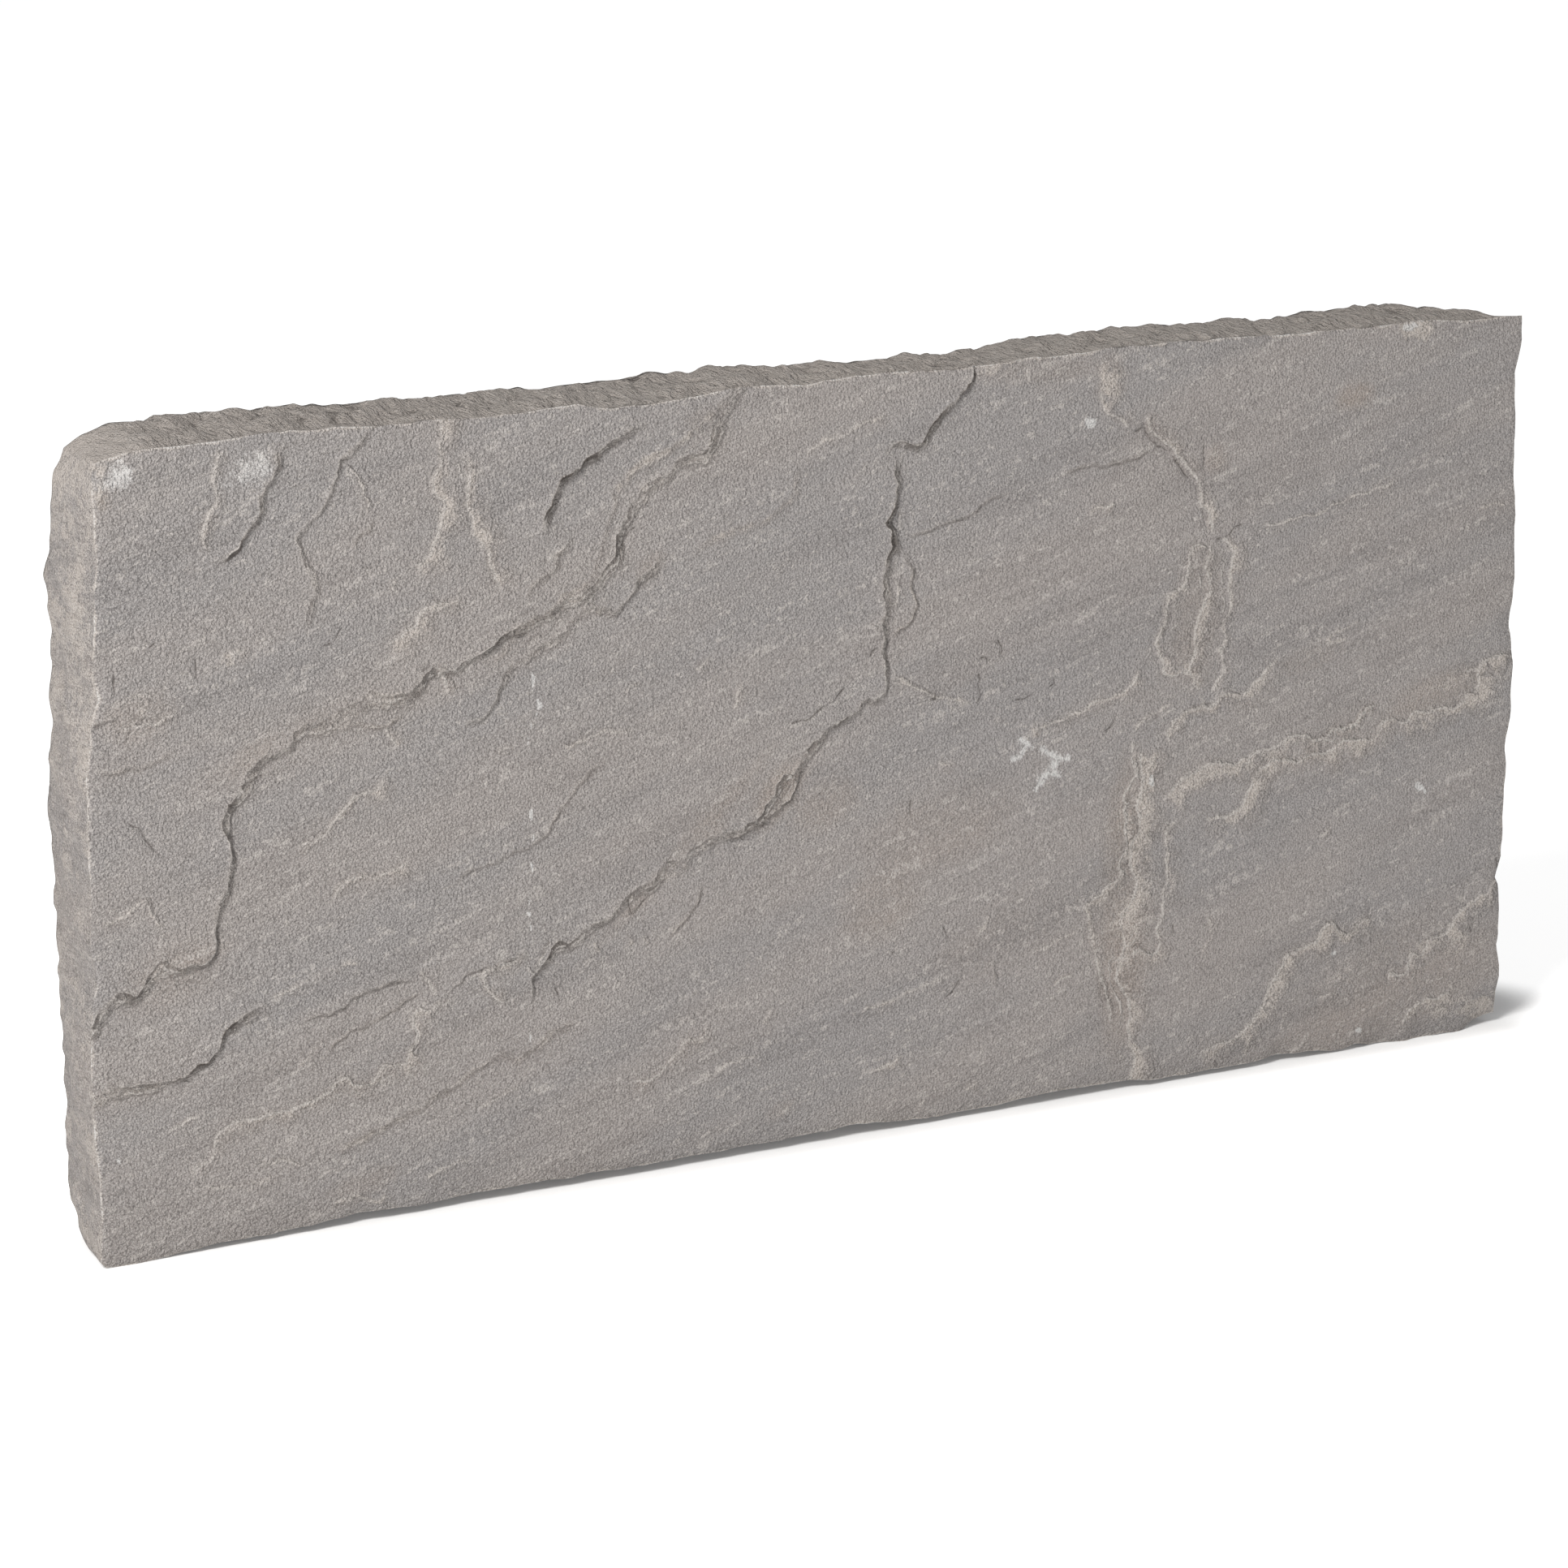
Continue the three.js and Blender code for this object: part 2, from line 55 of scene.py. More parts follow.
RIM_STEPS = {"bottom": 2.4, "right": 1.9, "top": 1.1, "left": 1.3}  # spacing of the stations round the edge
RIM_ROWS = (  # depths behind the front edge at which the narrow sides have a row of points
    0, 0.5, 1.2, 2.2, 3.6, 5.2, 7, 9, 11, 13, 15, 17, 19, 21, 23, 25, 27.2, 29.4, 31.4, 33, 34.2, 35,
)
FRONT_GRID = 2.7  # spacing of the points away from any ledge
BACK_GRID = 3.8
ROW_PITCH = 0.87  # height of each row of them, as a share of the spacing
GRID_SHAKE = 0.24  # how far each point is shaken out of its place, as a share of the spacing
FRONT_LEDGE_STEP = 0.8  # spacing of the points along a ledge
BACK_LEDGE_STEP = 1.3
MARK_GRID = 0.7  # spacing of the points under white mineral
CLOSEST_POINTS = 0.42  # no two points inside the outline are closer
SHARP_ANGLE = 48  # degrees between facets that still shade as one surface
INSETS = (0.5, 1.3, 2.6)  # rings of points just inside the outline
WIDEST_EDGE = 9.0  # beyond this distance the edge of a face no longer shows

# Edges of the two faces, each side walked anticlockwise as seen from the front.
FRONT_SIDES = {
    "bottom": [
        (-252, 2), (-250, 0), (-243, 0), (-231, 0.3), (-223, 1.2), (-216, 2.2), (-206, 1.7), (-185, 2.1),
        (-170, 3.6), (-149, 2.5), (-128, 3.3), (-63, 3.3), (8, 3.8), (27, 1.8), (50, 2.1), (70, 3.6),
        (90, 3.2), (115, 1.9), (151, 2.1), (173, 2.5), (186, 0.8), (193, 2), (199, 0.3), (224, 0), (237, 0),
        (242, 2.6), (251, 3.6),
    ],
    "right": [
        (251, 3.6), (251, 21), (249.7, 28), (250.3, 32), (249.8, 48), (249.6, 51), (250.8, 58), (251.1, 75),
        (252, 87), (251.7, 95), (252.6, 105), (252.8, 127), (252.2, 139), (253, 151), (252.7, 176),
        (251.8, 190), (251.3, 204), (250.7, 220), (251.1, 224), (253, 231), (252.8, 239.5),
    ],
    "top": [
        (252.8, 239.5), (232, 239.6), (221, 240.5), (200, 240.6), (162, 240.9), (145, 241.4), (111, 241.9),
        (91, 241.5), (60, 240.8), (41, 240.1), (1, 240.6), (-16, 239.4), (-39, 240.4), (-55, 239),
        (-73, 238.4), (-82, 238), (-94, 240.6), (-109, 239.3), (-138, 239.8), (-159, 239.7), (-189, 240.9),
        (-203, 240), (-228, 239.3), (-237, 238.6), (-245, 236.5),
    ],
    "left": [
        (-245, 236.5), (-246.2, 233.5), (-246.5, 226), (-246.6, 217), (-246.4, 208), (-247.6, 190),
        (-248.3, 175), (-246.2, 168.5), (-248.8, 162), (-251.1, 146), (-251.2, 119), (-252.1, 98),
        (-250.6, 89), (-252.7, 74), (-253, 62), (-253, 51), (-252, 36), (-251.2, 25), (-251.8, 8),
        (-252, 2),
    ],
}
BACK_SIDES = {
    "bottom": [
        (-246, 3), (-236, 0.3), (-215, 0.8), (-180, 2.4), (-140, 3.6), (-95, 2.6), (-50, 3.9), (40, 2),
        (85, 3.4), (130, 2.4), (170, 1.5), (200, 0.2), (230, 0.2), (242, 2.6), (247.5, 7),
    ],
    "right": [
        (247.5, 7), (249.5, 20), (251, 45), (250.2, 80), (251.6, 110), (250.6, 150), (251.8, 185),
        (250.4, 215), (247.5, 233),
    ],
    "top": [
        (247.5, 233), (241, 239.3), (231, 239.8), (221, 241), (200, 241.2), (159, 240.3), (108, 241.5),
        (72, 239.9), (48, 237.9), (11, 239.4), (-8, 239.7), (-20, 241.9), (-27, 240.7), (-57, 240.4),
        (-93, 240), (-146, 240.2), (-160, 241.2), (-199, 242), (-213, 241.7), (-218, 240.5), (-229, 241),
        (-235.5, 238.7), (-241, 235.5),
    ],
    "left": [
        (-241, 235.5), (-244.2, 226.5), (-246.2, 210), (-247.7, 198), (-247.2, 186), (-248.2, 155),
        (-249.3, 136), (-248.9, 110), (-248.4, 85), (-247.6, 60), (-247.4, 30), (-247.4, 12), (-246, 3),
    ],
}

# Bulge of each narrow side at mid thickness, depth of its hand-dressed hollows and of its flaky grain,
# how rough and how pale it is from 0 to 1, and the seed of its noise.
SIDE_SHAPE = {
    "bottom": {"bulge": 1.2, "hollow": 0.5, "flake": 0.3, "rough": 0.5, "pale": 0.1, "seed": 31},
    "right": {"bulge": 1.4, "hollow": 1.1, "flake": 0.4, "rough": 0.7, "pale": 0.2, "seed": 32},
    "top": {"bulge": 0.9, "hollow": 1.2, "flake": 0.95, "rough": 1.0, "pale": 0.92, "seed": 33},
    "left": {"bulge": 0.9, "hollow": 0.9, "flake": 0.3, "rough": 0.5, "pale": 0.42, "seed": 34},
}
HOLLOW_LENGTH = 19  # of the hand-dressed hollows, along the side
HOLLOW_WIDTH = 11  # of the same hollows, from face to face
# Dressed stone in layers of noise: height, sharpness, lengths along and across the side, and number
# added to the side's seed.
FACETS = (0.5, 3, 17, 10, 60)
RIDGES = (0.45, 3, 8.5, 14, 63)
HACKLES = (0.6, 2.5, 3.4, 12, 62)
CRUMBS = (0.45, 2.2, 2.4, 64)  # height, lengths and number: these aren't sharpened
# How the hackles lean and stray along the side: lean with depth, swing, wavelength and number.
HACKLE_STRAY = (0.35, 2.0, 8, 61)
CALM_CORNER = (2, 20)  # distances from a corner over which the dressing comes in
EDGE_CALM = 8  # nicks come in over this distance from a corner
# Nicks along the edge of a face: depth, wavelength and number of each noise.
NICKS = ((0.36, 9, 40), (0.28, 3.4, 50))

# Wavelength, reach and seed of the raggedness of every traced line.
RAGGEDNESS = ((7.5, 0.6, 51), (3.1, 0.38, 53), (1.7, 0.2, 55))
RAGGED_ROUNDS = 4  # rounds of moving a point until it lies on the ragged line

# Ledges, where one bedding layer stops. The higher layer is on the left hand of the walk.
# Each is (drop, scarp, reach, line): the step in height, the width of its slope, and how far it
# takes to blend away. Shaded ledges face down and to the right, lit ledges up and to the left.
SHADED_LEDGES = {
    "long_upper": (1.4, 5.0, 20, [
        (-264, 65), (-253, 74), (-250, 78), (-244, 83), (-239, 81), (-235.5, 85), (-231, 88.5),
        (-225, 86.5), (-219, 88.5), (-217, 90.5), (-216, 96), (-214, 103), (-211.5, 110), (-210.5, 119),
        (-210.5, 135.5), (-206, 137.5), (-203, 141), (-200, 145.5), (-196, 148.5), (-189.5, 151.5),
        (-181, 154.5), (-175, 156.5), (-169.5, 160), (-162, 161.5), (-155, 158.5), (-151, 159.5),
        (-146, 164), (-140.5, 167.5), (-134, 166.5), (-126.5, 171.5), (-118.5, 176), (-109.5, 177),
        (-105, 180.5), (-98.5, 182.5), (-93.5, 182.5), (-88.5, 186), (-83.5, 192.5), (-81, 200.5),
        (-77, 206), (-75.5, 210.5), (-68.5, 215), (-63.5, 218.5), (-57, 221.5), (-49.5, 225.5),
        (-45, 233.5), (-40, 240), (-36, 246),
    ]),
    "long_upper_inner": (0.5, 1.4, 8, [
        (-127, 165), (-119.5, 168.5), (-108.5, 177.5), (-98.5, 183.5), (-90.5, 187.5), (-86.5, 194.5),
        (-81.5, 212.5), (-74, 219.5), (-66.5, 223), (-58.5, 227.5), (-48.5, 234), (-42.5, 238.5),
    ]),
    "below_upper_west": (0.5, 0.9, 8, [(-173, 153), (-165, 152), (-156.5, 151.5), (-150, 154.5)]),
    "below_upper_mid": (1.0, 2.4, 10, [
        (-136, 148), (-127, 150.5), (-123, 154), (-118.5, 160.5), (-116, 164.5), (-107.5, 169),
        (-98, 173.5), (-94, 176.5), (-88.5, 179.5), (-82, 177.5), (-78, 180.5), (-71, 187.5), (-64.5, 191),
        (-63.5, 193.5),
    ]),
    "short_upper": (1.5, 2.2, 14, [
        (-107.5, 201.5), (-105, 208), (-103.5, 213), (-101, 217.5), (-95, 222), (-90.5, 225), (-83, 228),
        (-77.5, 230), (-70, 234.5),
    ]),
    "short_lower": (0.8, 1.6, 9, [
        (-112.5, 183.5), (-109, 187.5), (-102.5, 192.5), (-102, 196), (-98.5, 199.5), (-94.5, 203.5),
    ]),
    "long_lower": (1.35, 3.8, 18, [
        (-114.5, 58.5), (-114, 63.5), (-115, 68), (-114.5, 70.5), (-108.5, 74), (-105, 76.5), (-99, 77),
        (-94, 80), (-88.5, 82.5), (-81, 87.5), (-74, 91.5), (-71, 92.5), (-68, 95.5), (-64.5, 97),
        (-59, 96), (-56, 101), (-50.5, 102.5), (-47, 103.5), (-40, 106), (-32, 110.5), (-27.5, 114.5),
        (-24, 119.5), (-20, 123), (-15, 127), (-11, 130), (-9.5, 134.5), (-7.5, 137), (1, 137.5),
        (5, 141.5), (9, 142), (10, 149), (9.5, 153.5), (11, 161), (12, 168), (11.5, 174.5), (12, 181),
        (15, 186), (14, 191), (12.5, 194), (12.5, 198.5), (14, 205.5), (16, 211.5), (17, 215.5),
    ]),
    "long_lower_step": (0.8, 1.1, 7, [
        (-48.5, 101), (-42, 103), (-38.5, 103), (-33.5, 105.5), (-29.5, 105.5), (-27, 109), (-21.5, 111.5),
        (-19.5, 115.5), (-18.5, 119), (-17, 122.5), (-16.5, 126),
    ]),
    "long_lower_top": (1.3, 2.8, 14, [
        (10, 218.5), (16.5, 219.5), (24.5, 218.5), (27.5, 222.5), (31.5, 226.5), (36.5, 230), (40, 234),
        (42, 240), (43, 245),
    ]),
    "side_loop": (0.6, 0.8, 6, [
        (11.5, 160.5), (14.5, 159.5), (20, 161.5), (21.5, 164.5), (22.5, 168.5), (21, 172.5), (21.5, 178.5),
        (18, 183.5),
    ]),
    "fine_east": (0.6, 0.7, 9, [
        (17.5, 190.5), (22.5, 190), (29.5, 191.5), (39.5, 193.5), (44.5, 194.5), (48.5, 197.5), (52, 199.5),
        (59, 199.5),
    ]),
    "fine_east_far": (0.6, 0.7, 9, [
        (74, 203), (79.5, 204), (86.5, 206), (91.5, 205.5), (96.5, 205.5), (102, 206), (106.5, 207.5),
        (111.5, 209.5),
    ]),
    "west_low": (1.3, 2.8, 12, [
        (-259, 49), (-253, 50.5), (-242, 53), (-231, 55), (-222, 57), (-218, 59), (-212, 65), (-204, 69),
        (-199, 71), (-195, 73.5),
    ]),
    "west_low_east": (0.8, 1.0, 10, [
        (-189, 65), (-184, 66), (-174, 68), (-169, 70.5), (-159, 73), (-148, 74),
    ]),
    "west_low_thin": (0.5, 0.8, 6, [
        (-181, 53), (-179, 54.5), (-177, 57.5), (-169, 61), (-159, 64), (-153, 67), (-146, 70),
    ]),
    "flake_right_of_thin": (0.8, 1.0, 9, [
        (-141, 66.5), (-137, 70), (-133, 72), (-123, 74), (-112, 76.5),
    ]),
    "foot_line": (0.7, 1.4, 9, [
        (-178.5, 22), (-177, 25), (-167, 27), (-155, 31), (-148, 34), (-141, 37), (-137, 40), (-127, 44),
        (-122.5, 46.5), (-116, 43.5), (-110, 46.5), (-106.5, 49.5), (-101.5, 51), (-94, 53.5),
    ]),
    "scar_right": (1.0, 1.6, 9, [
        (-211.5, 207), (-207.5, 207), (-203.5, 208.5), (-199.5, 213), (-195, 217.5), (-196.5, 223),
        (-192, 227.5), (-189.5, 231), (-190.5, 235), (-189.5, 240.5),
    ]),
    "west_crack": (0.9, 2.2, 10, [
        (-184, 181), (-182, 188), (-180, 194.5), (-181.5, 201), (-184.5, 209.5), (-180.5, 213.5),
        (-176, 218), (-172.5, 225.5), (-170.5, 231), (-166.5, 233.5), (-163, 237), (-158.5, 240.5),
    ]),
    "west_crack_branch": (0.4, 0.7, 5, [(-168.5, 205), (-163.5, 208.5), (-161, 210), (-161.5, 213)]),
    "end_ledge": (0.6, 0.9, 7, [
        (-249, 148.5), (-245, 147), (-239, 147.5), (-232, 148.5), (-227, 150.5), (-223, 152),
    ]),
    "end_spall": (0.6, 0.9, 6, [(-249.5, 161), (-246, 162), (-241.5, 164)]),
    "centre_arc": (0.5, 0.8, 5, [
        (-65, 74.5), (-61.5, 76.5), (-57.5, 79.5), (-56.5, 82), (-53.5, 84.5), (-53, 87.5), (-54, 89.5),
    ]),
    "centre_diag": (0.5, 0.9, 7, [
        (-138.5, 99.5), (-131, 104.5), (-122.5, 106), (-116, 108.5), (-107.5, 110.5), (-104.5, 113),
        (-102, 117.5), (-98.5, 121), (-93, 127), (-90, 129.5), (-83.5, 132.5),
    ]),
    "upper_far": (0.4, 1.2, 7, [
        (-57.5, 191.5), (-49.5, 194.5), (-39.5, 197.5), (-31.5, 199.5), (-27, 202), (-20, 207.5),
        (-18.5, 213.5), (-19.5, 216.5),
    ]),
}
LIT_LEDGES = {
    "scar_left": (0.7, 1.2, 7, [
        (-203.5, 237.5), (-209, 234), (-210, 228.5), (-209.5, 222.5), (-213.5, 218), (-214, 213),
        (-213, 209.5), (-210, 207),
    ]),
    "ridge_low": (0.9, 3.4, 8, [
        (-131, 188.5), (-141, 188), (-146.5, 185), (-148, 180), (-152, 176), (-158, 173.5),
    ]),
    "fall_west": (1.0, 4.2, 9, [
        (-137, 245), (-137, 240), (-136.5, 234.5), (-139.5, 226.5), (-140.5, 222), (-139, 214),
        (-141.5, 207), (-145.5, 198), (-144.5, 191),
    ]),
    "fall_east": (1.0, 3.8, 9, [
        (-131.5, 230), (-130.5, 222), (-131.5, 216), (-128.5, 204), (-124.5, 199), (-122.5, 191),
        (-120.5, 185),
    ]),
    "ridge_west": (0.5, 2.0, 6, [(-140.5, 168.5), (-139.5, 162), (-138, 156)]),
    "ridge_west_low": (0.5, 2.0, 6, [(-157.5, 151), (-156.5, 147), (-155, 142.5)]),
    "light_diag_west": (0.7, 2.4, 6, [
        (-157, 137), (-161, 133), (-168, 132), (-170, 129), (-174, 124), (-179, 119.5), (-188, 118),
    ]),
    "light_mid_west": (0.7, 2.4, 6, [
        (-149, 111), (-154, 109), (-162, 106), (-174, 105), (-175.5, 99),
    ]),
    "low_west_lens": (0.9, 3.0, 9, [
        (-137, 66), (-142, 65), (-149, 62), (-151, 61), (-148.5, 57), (-149, 54.5), (-153, 52.5),
        (-153.5, 49), (-160, 47), (-163, 44), (-170.5, 44), (-172.5, 45.5), (-181, 43), (-187, 41),
        (-197, 38.5), (-207, 38), (-215, 34.5), (-216, 32), (-217, 28.5), (-222, 26), (-221, 21),
    ]),
    "flake_left": (0.7, 2.0, 8, [
        (-112, 76.5), (-123, 74), (-127, 71.5), (-126, 66.5), (-123.5, 62.5), (-119.5, 59.5),
    ]),
    "low_mid_light": (0.6, 2.0, 6, [
        (-50.5, 45), (-53.5, 41.5), (-57.5, 42), (-60, 39.5), (-61, 37), (-64.5, 33.5), (-68, 31.5),
        (-79, 31),
    ]),
    "east_upper": (1.0, 2.0, 12, [
        (104, 220.5), (106.5, 217), (111.5, 210), (115.5, 208), (121, 202), (127, 195), (129.5, 188.5),
        (131.5, 180), (133, 177.5),
    ]),
    "east_triangle": (0.8, 2.4, 9, [(87.5, 228.5), (89, 225.5), (91.5, 222), (98, 217.5), (100.5, 214.5)]),
    "cluster_left": (1.0, 3.4, 9, [
        (132.5, 177.5), (127, 175), (123.5, 172), (122.5, 169), (121, 165), (117, 161), (116, 157.5),
        (113.5, 153.5), (113, 146), (112.5, 141), (114, 138), (116.5, 135.5), (120, 135), (126, 132),
        (131.5, 128),
    ]),
    "cluster_inner": (0.8, 3.0, 8, [
        (133, 177.5), (129.5, 168), (132, 160), (128, 151), (127, 146), (126.5, 141), (125, 138.5),
        (126.5, 134.5), (129, 131), (131.5, 128),
    ]),
    "cluster_right": (1.0, 3.8, 10, [
        (134, 178), (140.5, 172), (138, 166), (139, 159), (138.5, 152), (136.5, 145), (135, 140),
        (138, 135), (134, 130), (131.5, 126.5),
    ]),
    "south_lip": (0.9, 2.4, 8, [
        (104.5, 117.5), (102, 111.5), (104, 104), (102.5, 99.5), (100, 97), (100.5, 89), (102, 81),
        (99.5, 78), (99, 74.5), (101, 72), (97.5, 69.5), (91, 66), (87, 63.5), (88.5, 54), (91, 44),
        (93.5, 36), (92.5, 33), (96, 27.5), (97, 22.5),
    ]),
    "south_band": (1.5, 5.5, 16, [
        (105.5, 113.5), (105.5, 104), (104.5, 92), (105, 82), (104, 72), (102, 60), (100.5, 47), (99, 38),
        (101, 32), (103.5, 24), (104, 14), (103.5, 3), (103.5, -3),
    ]),
    "south_east_band": (0.9, 3.8, 10, [
        (118.5, 90), (116.5, 82.5), (114, 75), (116, 68), (113.5, 60), (114, 55), (111, 46), (106, 49),
        (102, 44),
    ]),
    "east_mid": (1.2, 5.0, 12, [
        (200, 116.5), (194.5, 113.5), (191, 111.5), (186, 109), (174, 109), (164, 109.5), (153.5, 108.5),
        (149, 108), (147.5, 106), (148, 103), (141, 103), (129, 102), (121, 99.5), (116, 96), (113, 93),
    ]),
    "east_mid_low": (1.2, 5.0, 12, [
        (258, 128), (252, 127), (242, 126.5), (239, 122.5), (237.5, 114.5), (230, 111), (223, 110),
        (211, 110), (206, 110.5), (199, 109), (196, 106), (189.5, 106.5), (181.5, 105.5), (168, 102),
        (153, 101.5), (149, 98), (144.5, 89), (134.5, 84.5), (129, 83.5),
    ]),
    "east_link": (1.1, 4.0, 9, [
        (161, 137.5), (157, 134), (153.5, 130.5), (150, 128.5), (141, 126), (132, 124.5), (123, 123),
        (118, 120.5), (116.5, 116), (118, 111.5),
    ]),
    "east_low": (1.5, 4.6, 14, [
        (201, 43.5), (190, 41), (181.5, 42.5), (172.5, 37.5), (165, 36), (164, 32), (161, 28.5),
        (158, 25.5), (153.5, 20), (148.5, 13.5), (140.5, 10), (128.5, 7),
    ]),
    "east_corner": (1.3, 4.6, 11, [
        (256, 51), (250, 49.5), (239, 45.5), (229.5, 41), (229, 36.5), (220, 34.5), (219, 30.5), (215, 29),
        (214, 21.5), (207, 23), (204, 21),
    ]),
    "east_corner_low": (0.9, 3.2, 7, [(233, 18.5), (224.5, 13.5), (214.5, 12.5), (212, 10), (211, 4.5)]),
    "mid_light": (0.6, 2.2, 6, [
        (106.5, 138.5), (100, 133.5), (94.5, 131), (83, 128), (75, 126.5), (66, 124.5), (63, 122),
    ]),
}
BACK_LEDGES = {
    "back_long": (1.3, 2.4, 24, [
        (-200, 244), (-200, 238), (-176, 190), (-130, 158), (-118, 96), (-60, 60),
    ]),
    "back_low": (1.1, 2, 20, [(28, 0), (30, 6), (62, 58), (118, 84), (150, 150), (206, 176)]),
    "back_high": (0.8, 1.8, 14, [(-20, 200), (24, 176), (70, 182), (110, 214)]),
    "back_west": (0.6, 1.2, 10, [(-236, 150), (-214, 128), (-186, 122), (-160, 96)]),
    "back_west_low": (0.7, 1.4, 12, [(-226, 66), (-196, 58), (-172, 34), (-140, 26), (-120, 4)]),
    "back_mid": (0.5, 1.1, 9, [(-72, 168), (-40, 150), (-14, 146), (6, 124), (38, 118)]),
    "back_east": (0.8, 1.5, 12, [(150, 238), (166, 214), (196, 206), (214, 186), (248, 182)]),
    "back_corner": (0.6, 1.3, 9, [(168, 8), (182, 36), (210, 50), (222, 80), (250, 92)]),
}

# Places where the edge of a face has spalled away: x, z, radius and depth.
FRONT_SPALLS = (
    (-249, 238, 13, 1.8), (-251, 166, 10, 1.0), (211, 243, 10, 1.4), (-50, 242, 8, 0.9), (250, 2, 15, 2.0),
    (252, 52, 6, 0.8), (163, 2, 7, 1.4), (203, 1, 9, 1.8), (219, 2, 6, 1.2), (-168, 2, 7, 1.0),
    (252, 138, 5, 0.9), (252, 96, 5, 0.8),
)
BACK_SPALLS = ((250, 238, 22, 2.6), (-248, 6, 16, 2.2), (-20, 2, 18, 1.6))

# Narrow cracks under the edge of a lifted flake, with painted shade in them.
CRACKS = (
    [(-241.7, 175.7), (-241.7, 172.2), (-241.7, 168.2)],
    [(-217.2, 177.6), (-217, 171.1)],
    [(-231.7, 181.8), (-229.3, 184.1)],
    [(-225.7, 179.1), (-224.4, 180.5)],
    [(-177.7, 175.9), (-174, 177.9), (-171.9, 179.9), (-170.9, 181.9)],
    [(-216.3, 156.1), (-215.5, 154.1)],
    [(-238.9, 132.1), (-235.9, 129.1), (-232.9, 124.1), (-229.9, 121.1), (-227.9, 119.1)],
    [(-195.8, 141), (-199.1, 139.6), (-204.4, 138.4)],
    [(-73.6, 201.6), (-76.6, 199.6), (-78.3, 197.4), (-79.7, 195), (-80.7, 192.9)],
    [(-58.2, 139.1), (-58.2, 137.1)],
    [(-103.7, 64.5), (-102.5, 62), (-101.3, 60)],
    [(27.8, 137.3), (29.9, 137.9), (31.1, 139.7)],
    [(45.9, 148), (48.2, 148.5), (50.4, 147)],
    [(46.1, 144.1), (46.7, 141.7), (45.8, 136), (44.5, 133.9)],
    [(52.4, 153.6), (54.5, 150.7), (53.7, 148.2)],
    [(59.1, 133.2), (63.4, 133.8), (66.7, 135)],
    [(71.1, 136.3), (73.2, 137.1), (73.2, 140.4)],
    [(101.8, 214.4), (104.3, 215.3), (105.1, 217.3)],
    [(127.6, 208.2), (128, 199.9)],
    [(186.6, 135.4), (187.8, 134.2)],
    [
        (105.6, 216.4), (110.8, 209.2), (114.8, 207), (120.2, 201.2), (126, 194.2), (128.6, 188),
        (130.6, 180),
    ],
    [(133, 177.5), (138.3, 178.3), (140.8, 180.3), (144.1, 180.9)],
    [(92.1, 120), (95.4, 121.4), (97, 124.3)],
    [(32.5, 64.8), (33.7, 62), (35.3, 59.2)],
    [(15.2, 57.3), (16.2, 59.3)],
    [(34, 40.2), (36.8, 42.2), (40.2, 46)],
    [(21.1, 106.7), (21.3, 101)],
    [(119.9, 54), (120.2, 49.5)],
    [(238.2, 36.8), (239, 32.6)],
    [(248.2, 58.8), (249.9, 53.5), (248.6, 52.2), (249.4, 49.4)],
    [(-21.6, 134.9), (-13.7, 137.8), (-6.3, 140.7), (-2.2, 144.4)],
    [(9.4, 157), (7.8, 155.3), (6.1, 152.9)],
    [(12.7, 159), (13.5, 155.7), (12.7, 153.7)],
    [(-78.6, 89), (-76.2, 83.3), (-73.7, 85.6), (-70.4, 90.2)],
)
FAR_FROM_LEDGE = 8.0  # the distance noted where no ledge is near
CRACK_DEPTH = 0.45
CRACK_WIDTH = 0.5  # from the middle of a crack to where it is about a third as deep
CRACK_SEED = 31

# How crisp a ledge is at evenly spaced places along its walk: 1 is a sheer dark lip, 0 a crumbled slope.
PLAIN_CRISPNESS = (0.4, 0.5)
CRISPNESS = {
    "long_upper": (1, 0.9, 0.55, 1, 1, 0.9, 0.55, 0.5, 0.5, 0.95, 0.7, 0.6, 0.8, 0.9, 0.8, 0.5, 0.5),
    "long_upper_inner": (0.15, 0.2, 0.3, 0.4, 0.5),
    "short_upper": (0.9, 1, 0.9, 0.5, 0.2),
    "short_lower": (0.6, 0.7, 0.6),
    "long_lower": (1, 0.7, 0.65, 0.7, 0.7, 0.65, 0.7, 0.8, 0.95, 0.8, 0.7, 0.8, 1),
    "long_lower_top": (1, 1, 0.9, 0.9),
    "west_low": (0.3, 0.4, 0.7, 1, 0.9, 0.4),
    "scar_right": (0.7, 0.8, 0.8, 0.4, 0.3),
    "west_crack": (0.5, 0.6, 0.9, 0.9, 0.8, 0.6),
    "below_upper_mid": (0.7, 0.8, 0.8, 0.7, 0.7),
    "side_loop": (0.3, 0.3),
    "upper_far": (0.2, 0.3),
}

# How each kind of ledge breaks: its most sheets, the share of its drop in their sheer steps, the strength
# of its lip, of the pale crest above it, of the pale slope and stain below (bruised stone, and a painted
# highlight where they face the light) and of the painted shadow in the crevice under it, and over how many
# millimetres its ends fade. Lead 0 is traced along the lip, lead 1 along the foot.
SHADED = {
    "sheets": 5, "sheer": 0.95, "lip": 1.0, "crest": 0.45, "pale": 0.5, "tint": 0.35, "crevice": 1.0,
    "fade": 8, "lead": 0.0,
}
LIT = {
    "sheets": 1, "sheer": 0.4, "lip": 1.3, "crest": 0.5, "pale": 0.66, "tint": 0.35, "crevice": 0.0,
    "fade": 5, "lead": 1.0,
}
FLAKE = {
    "sheets": 1, "sheer": 0.45, "lip": 1.5, "crest": 0.6, "pale": 0.65, "tint": 0.2, "crevice": 0.0,
    "fade": 5, "lead": 1.0,
}
FLAKE_SIZE = (0.35, 1.0, 5)  # drop, scarp and reach of a small flake
SHEET_LIMITS = (1.1, 2.1, 3.5, 5.0)  # scarps wider than each of these show one more sheet
WIDE_SCARP = 4  # scarps wider than this swing about no further
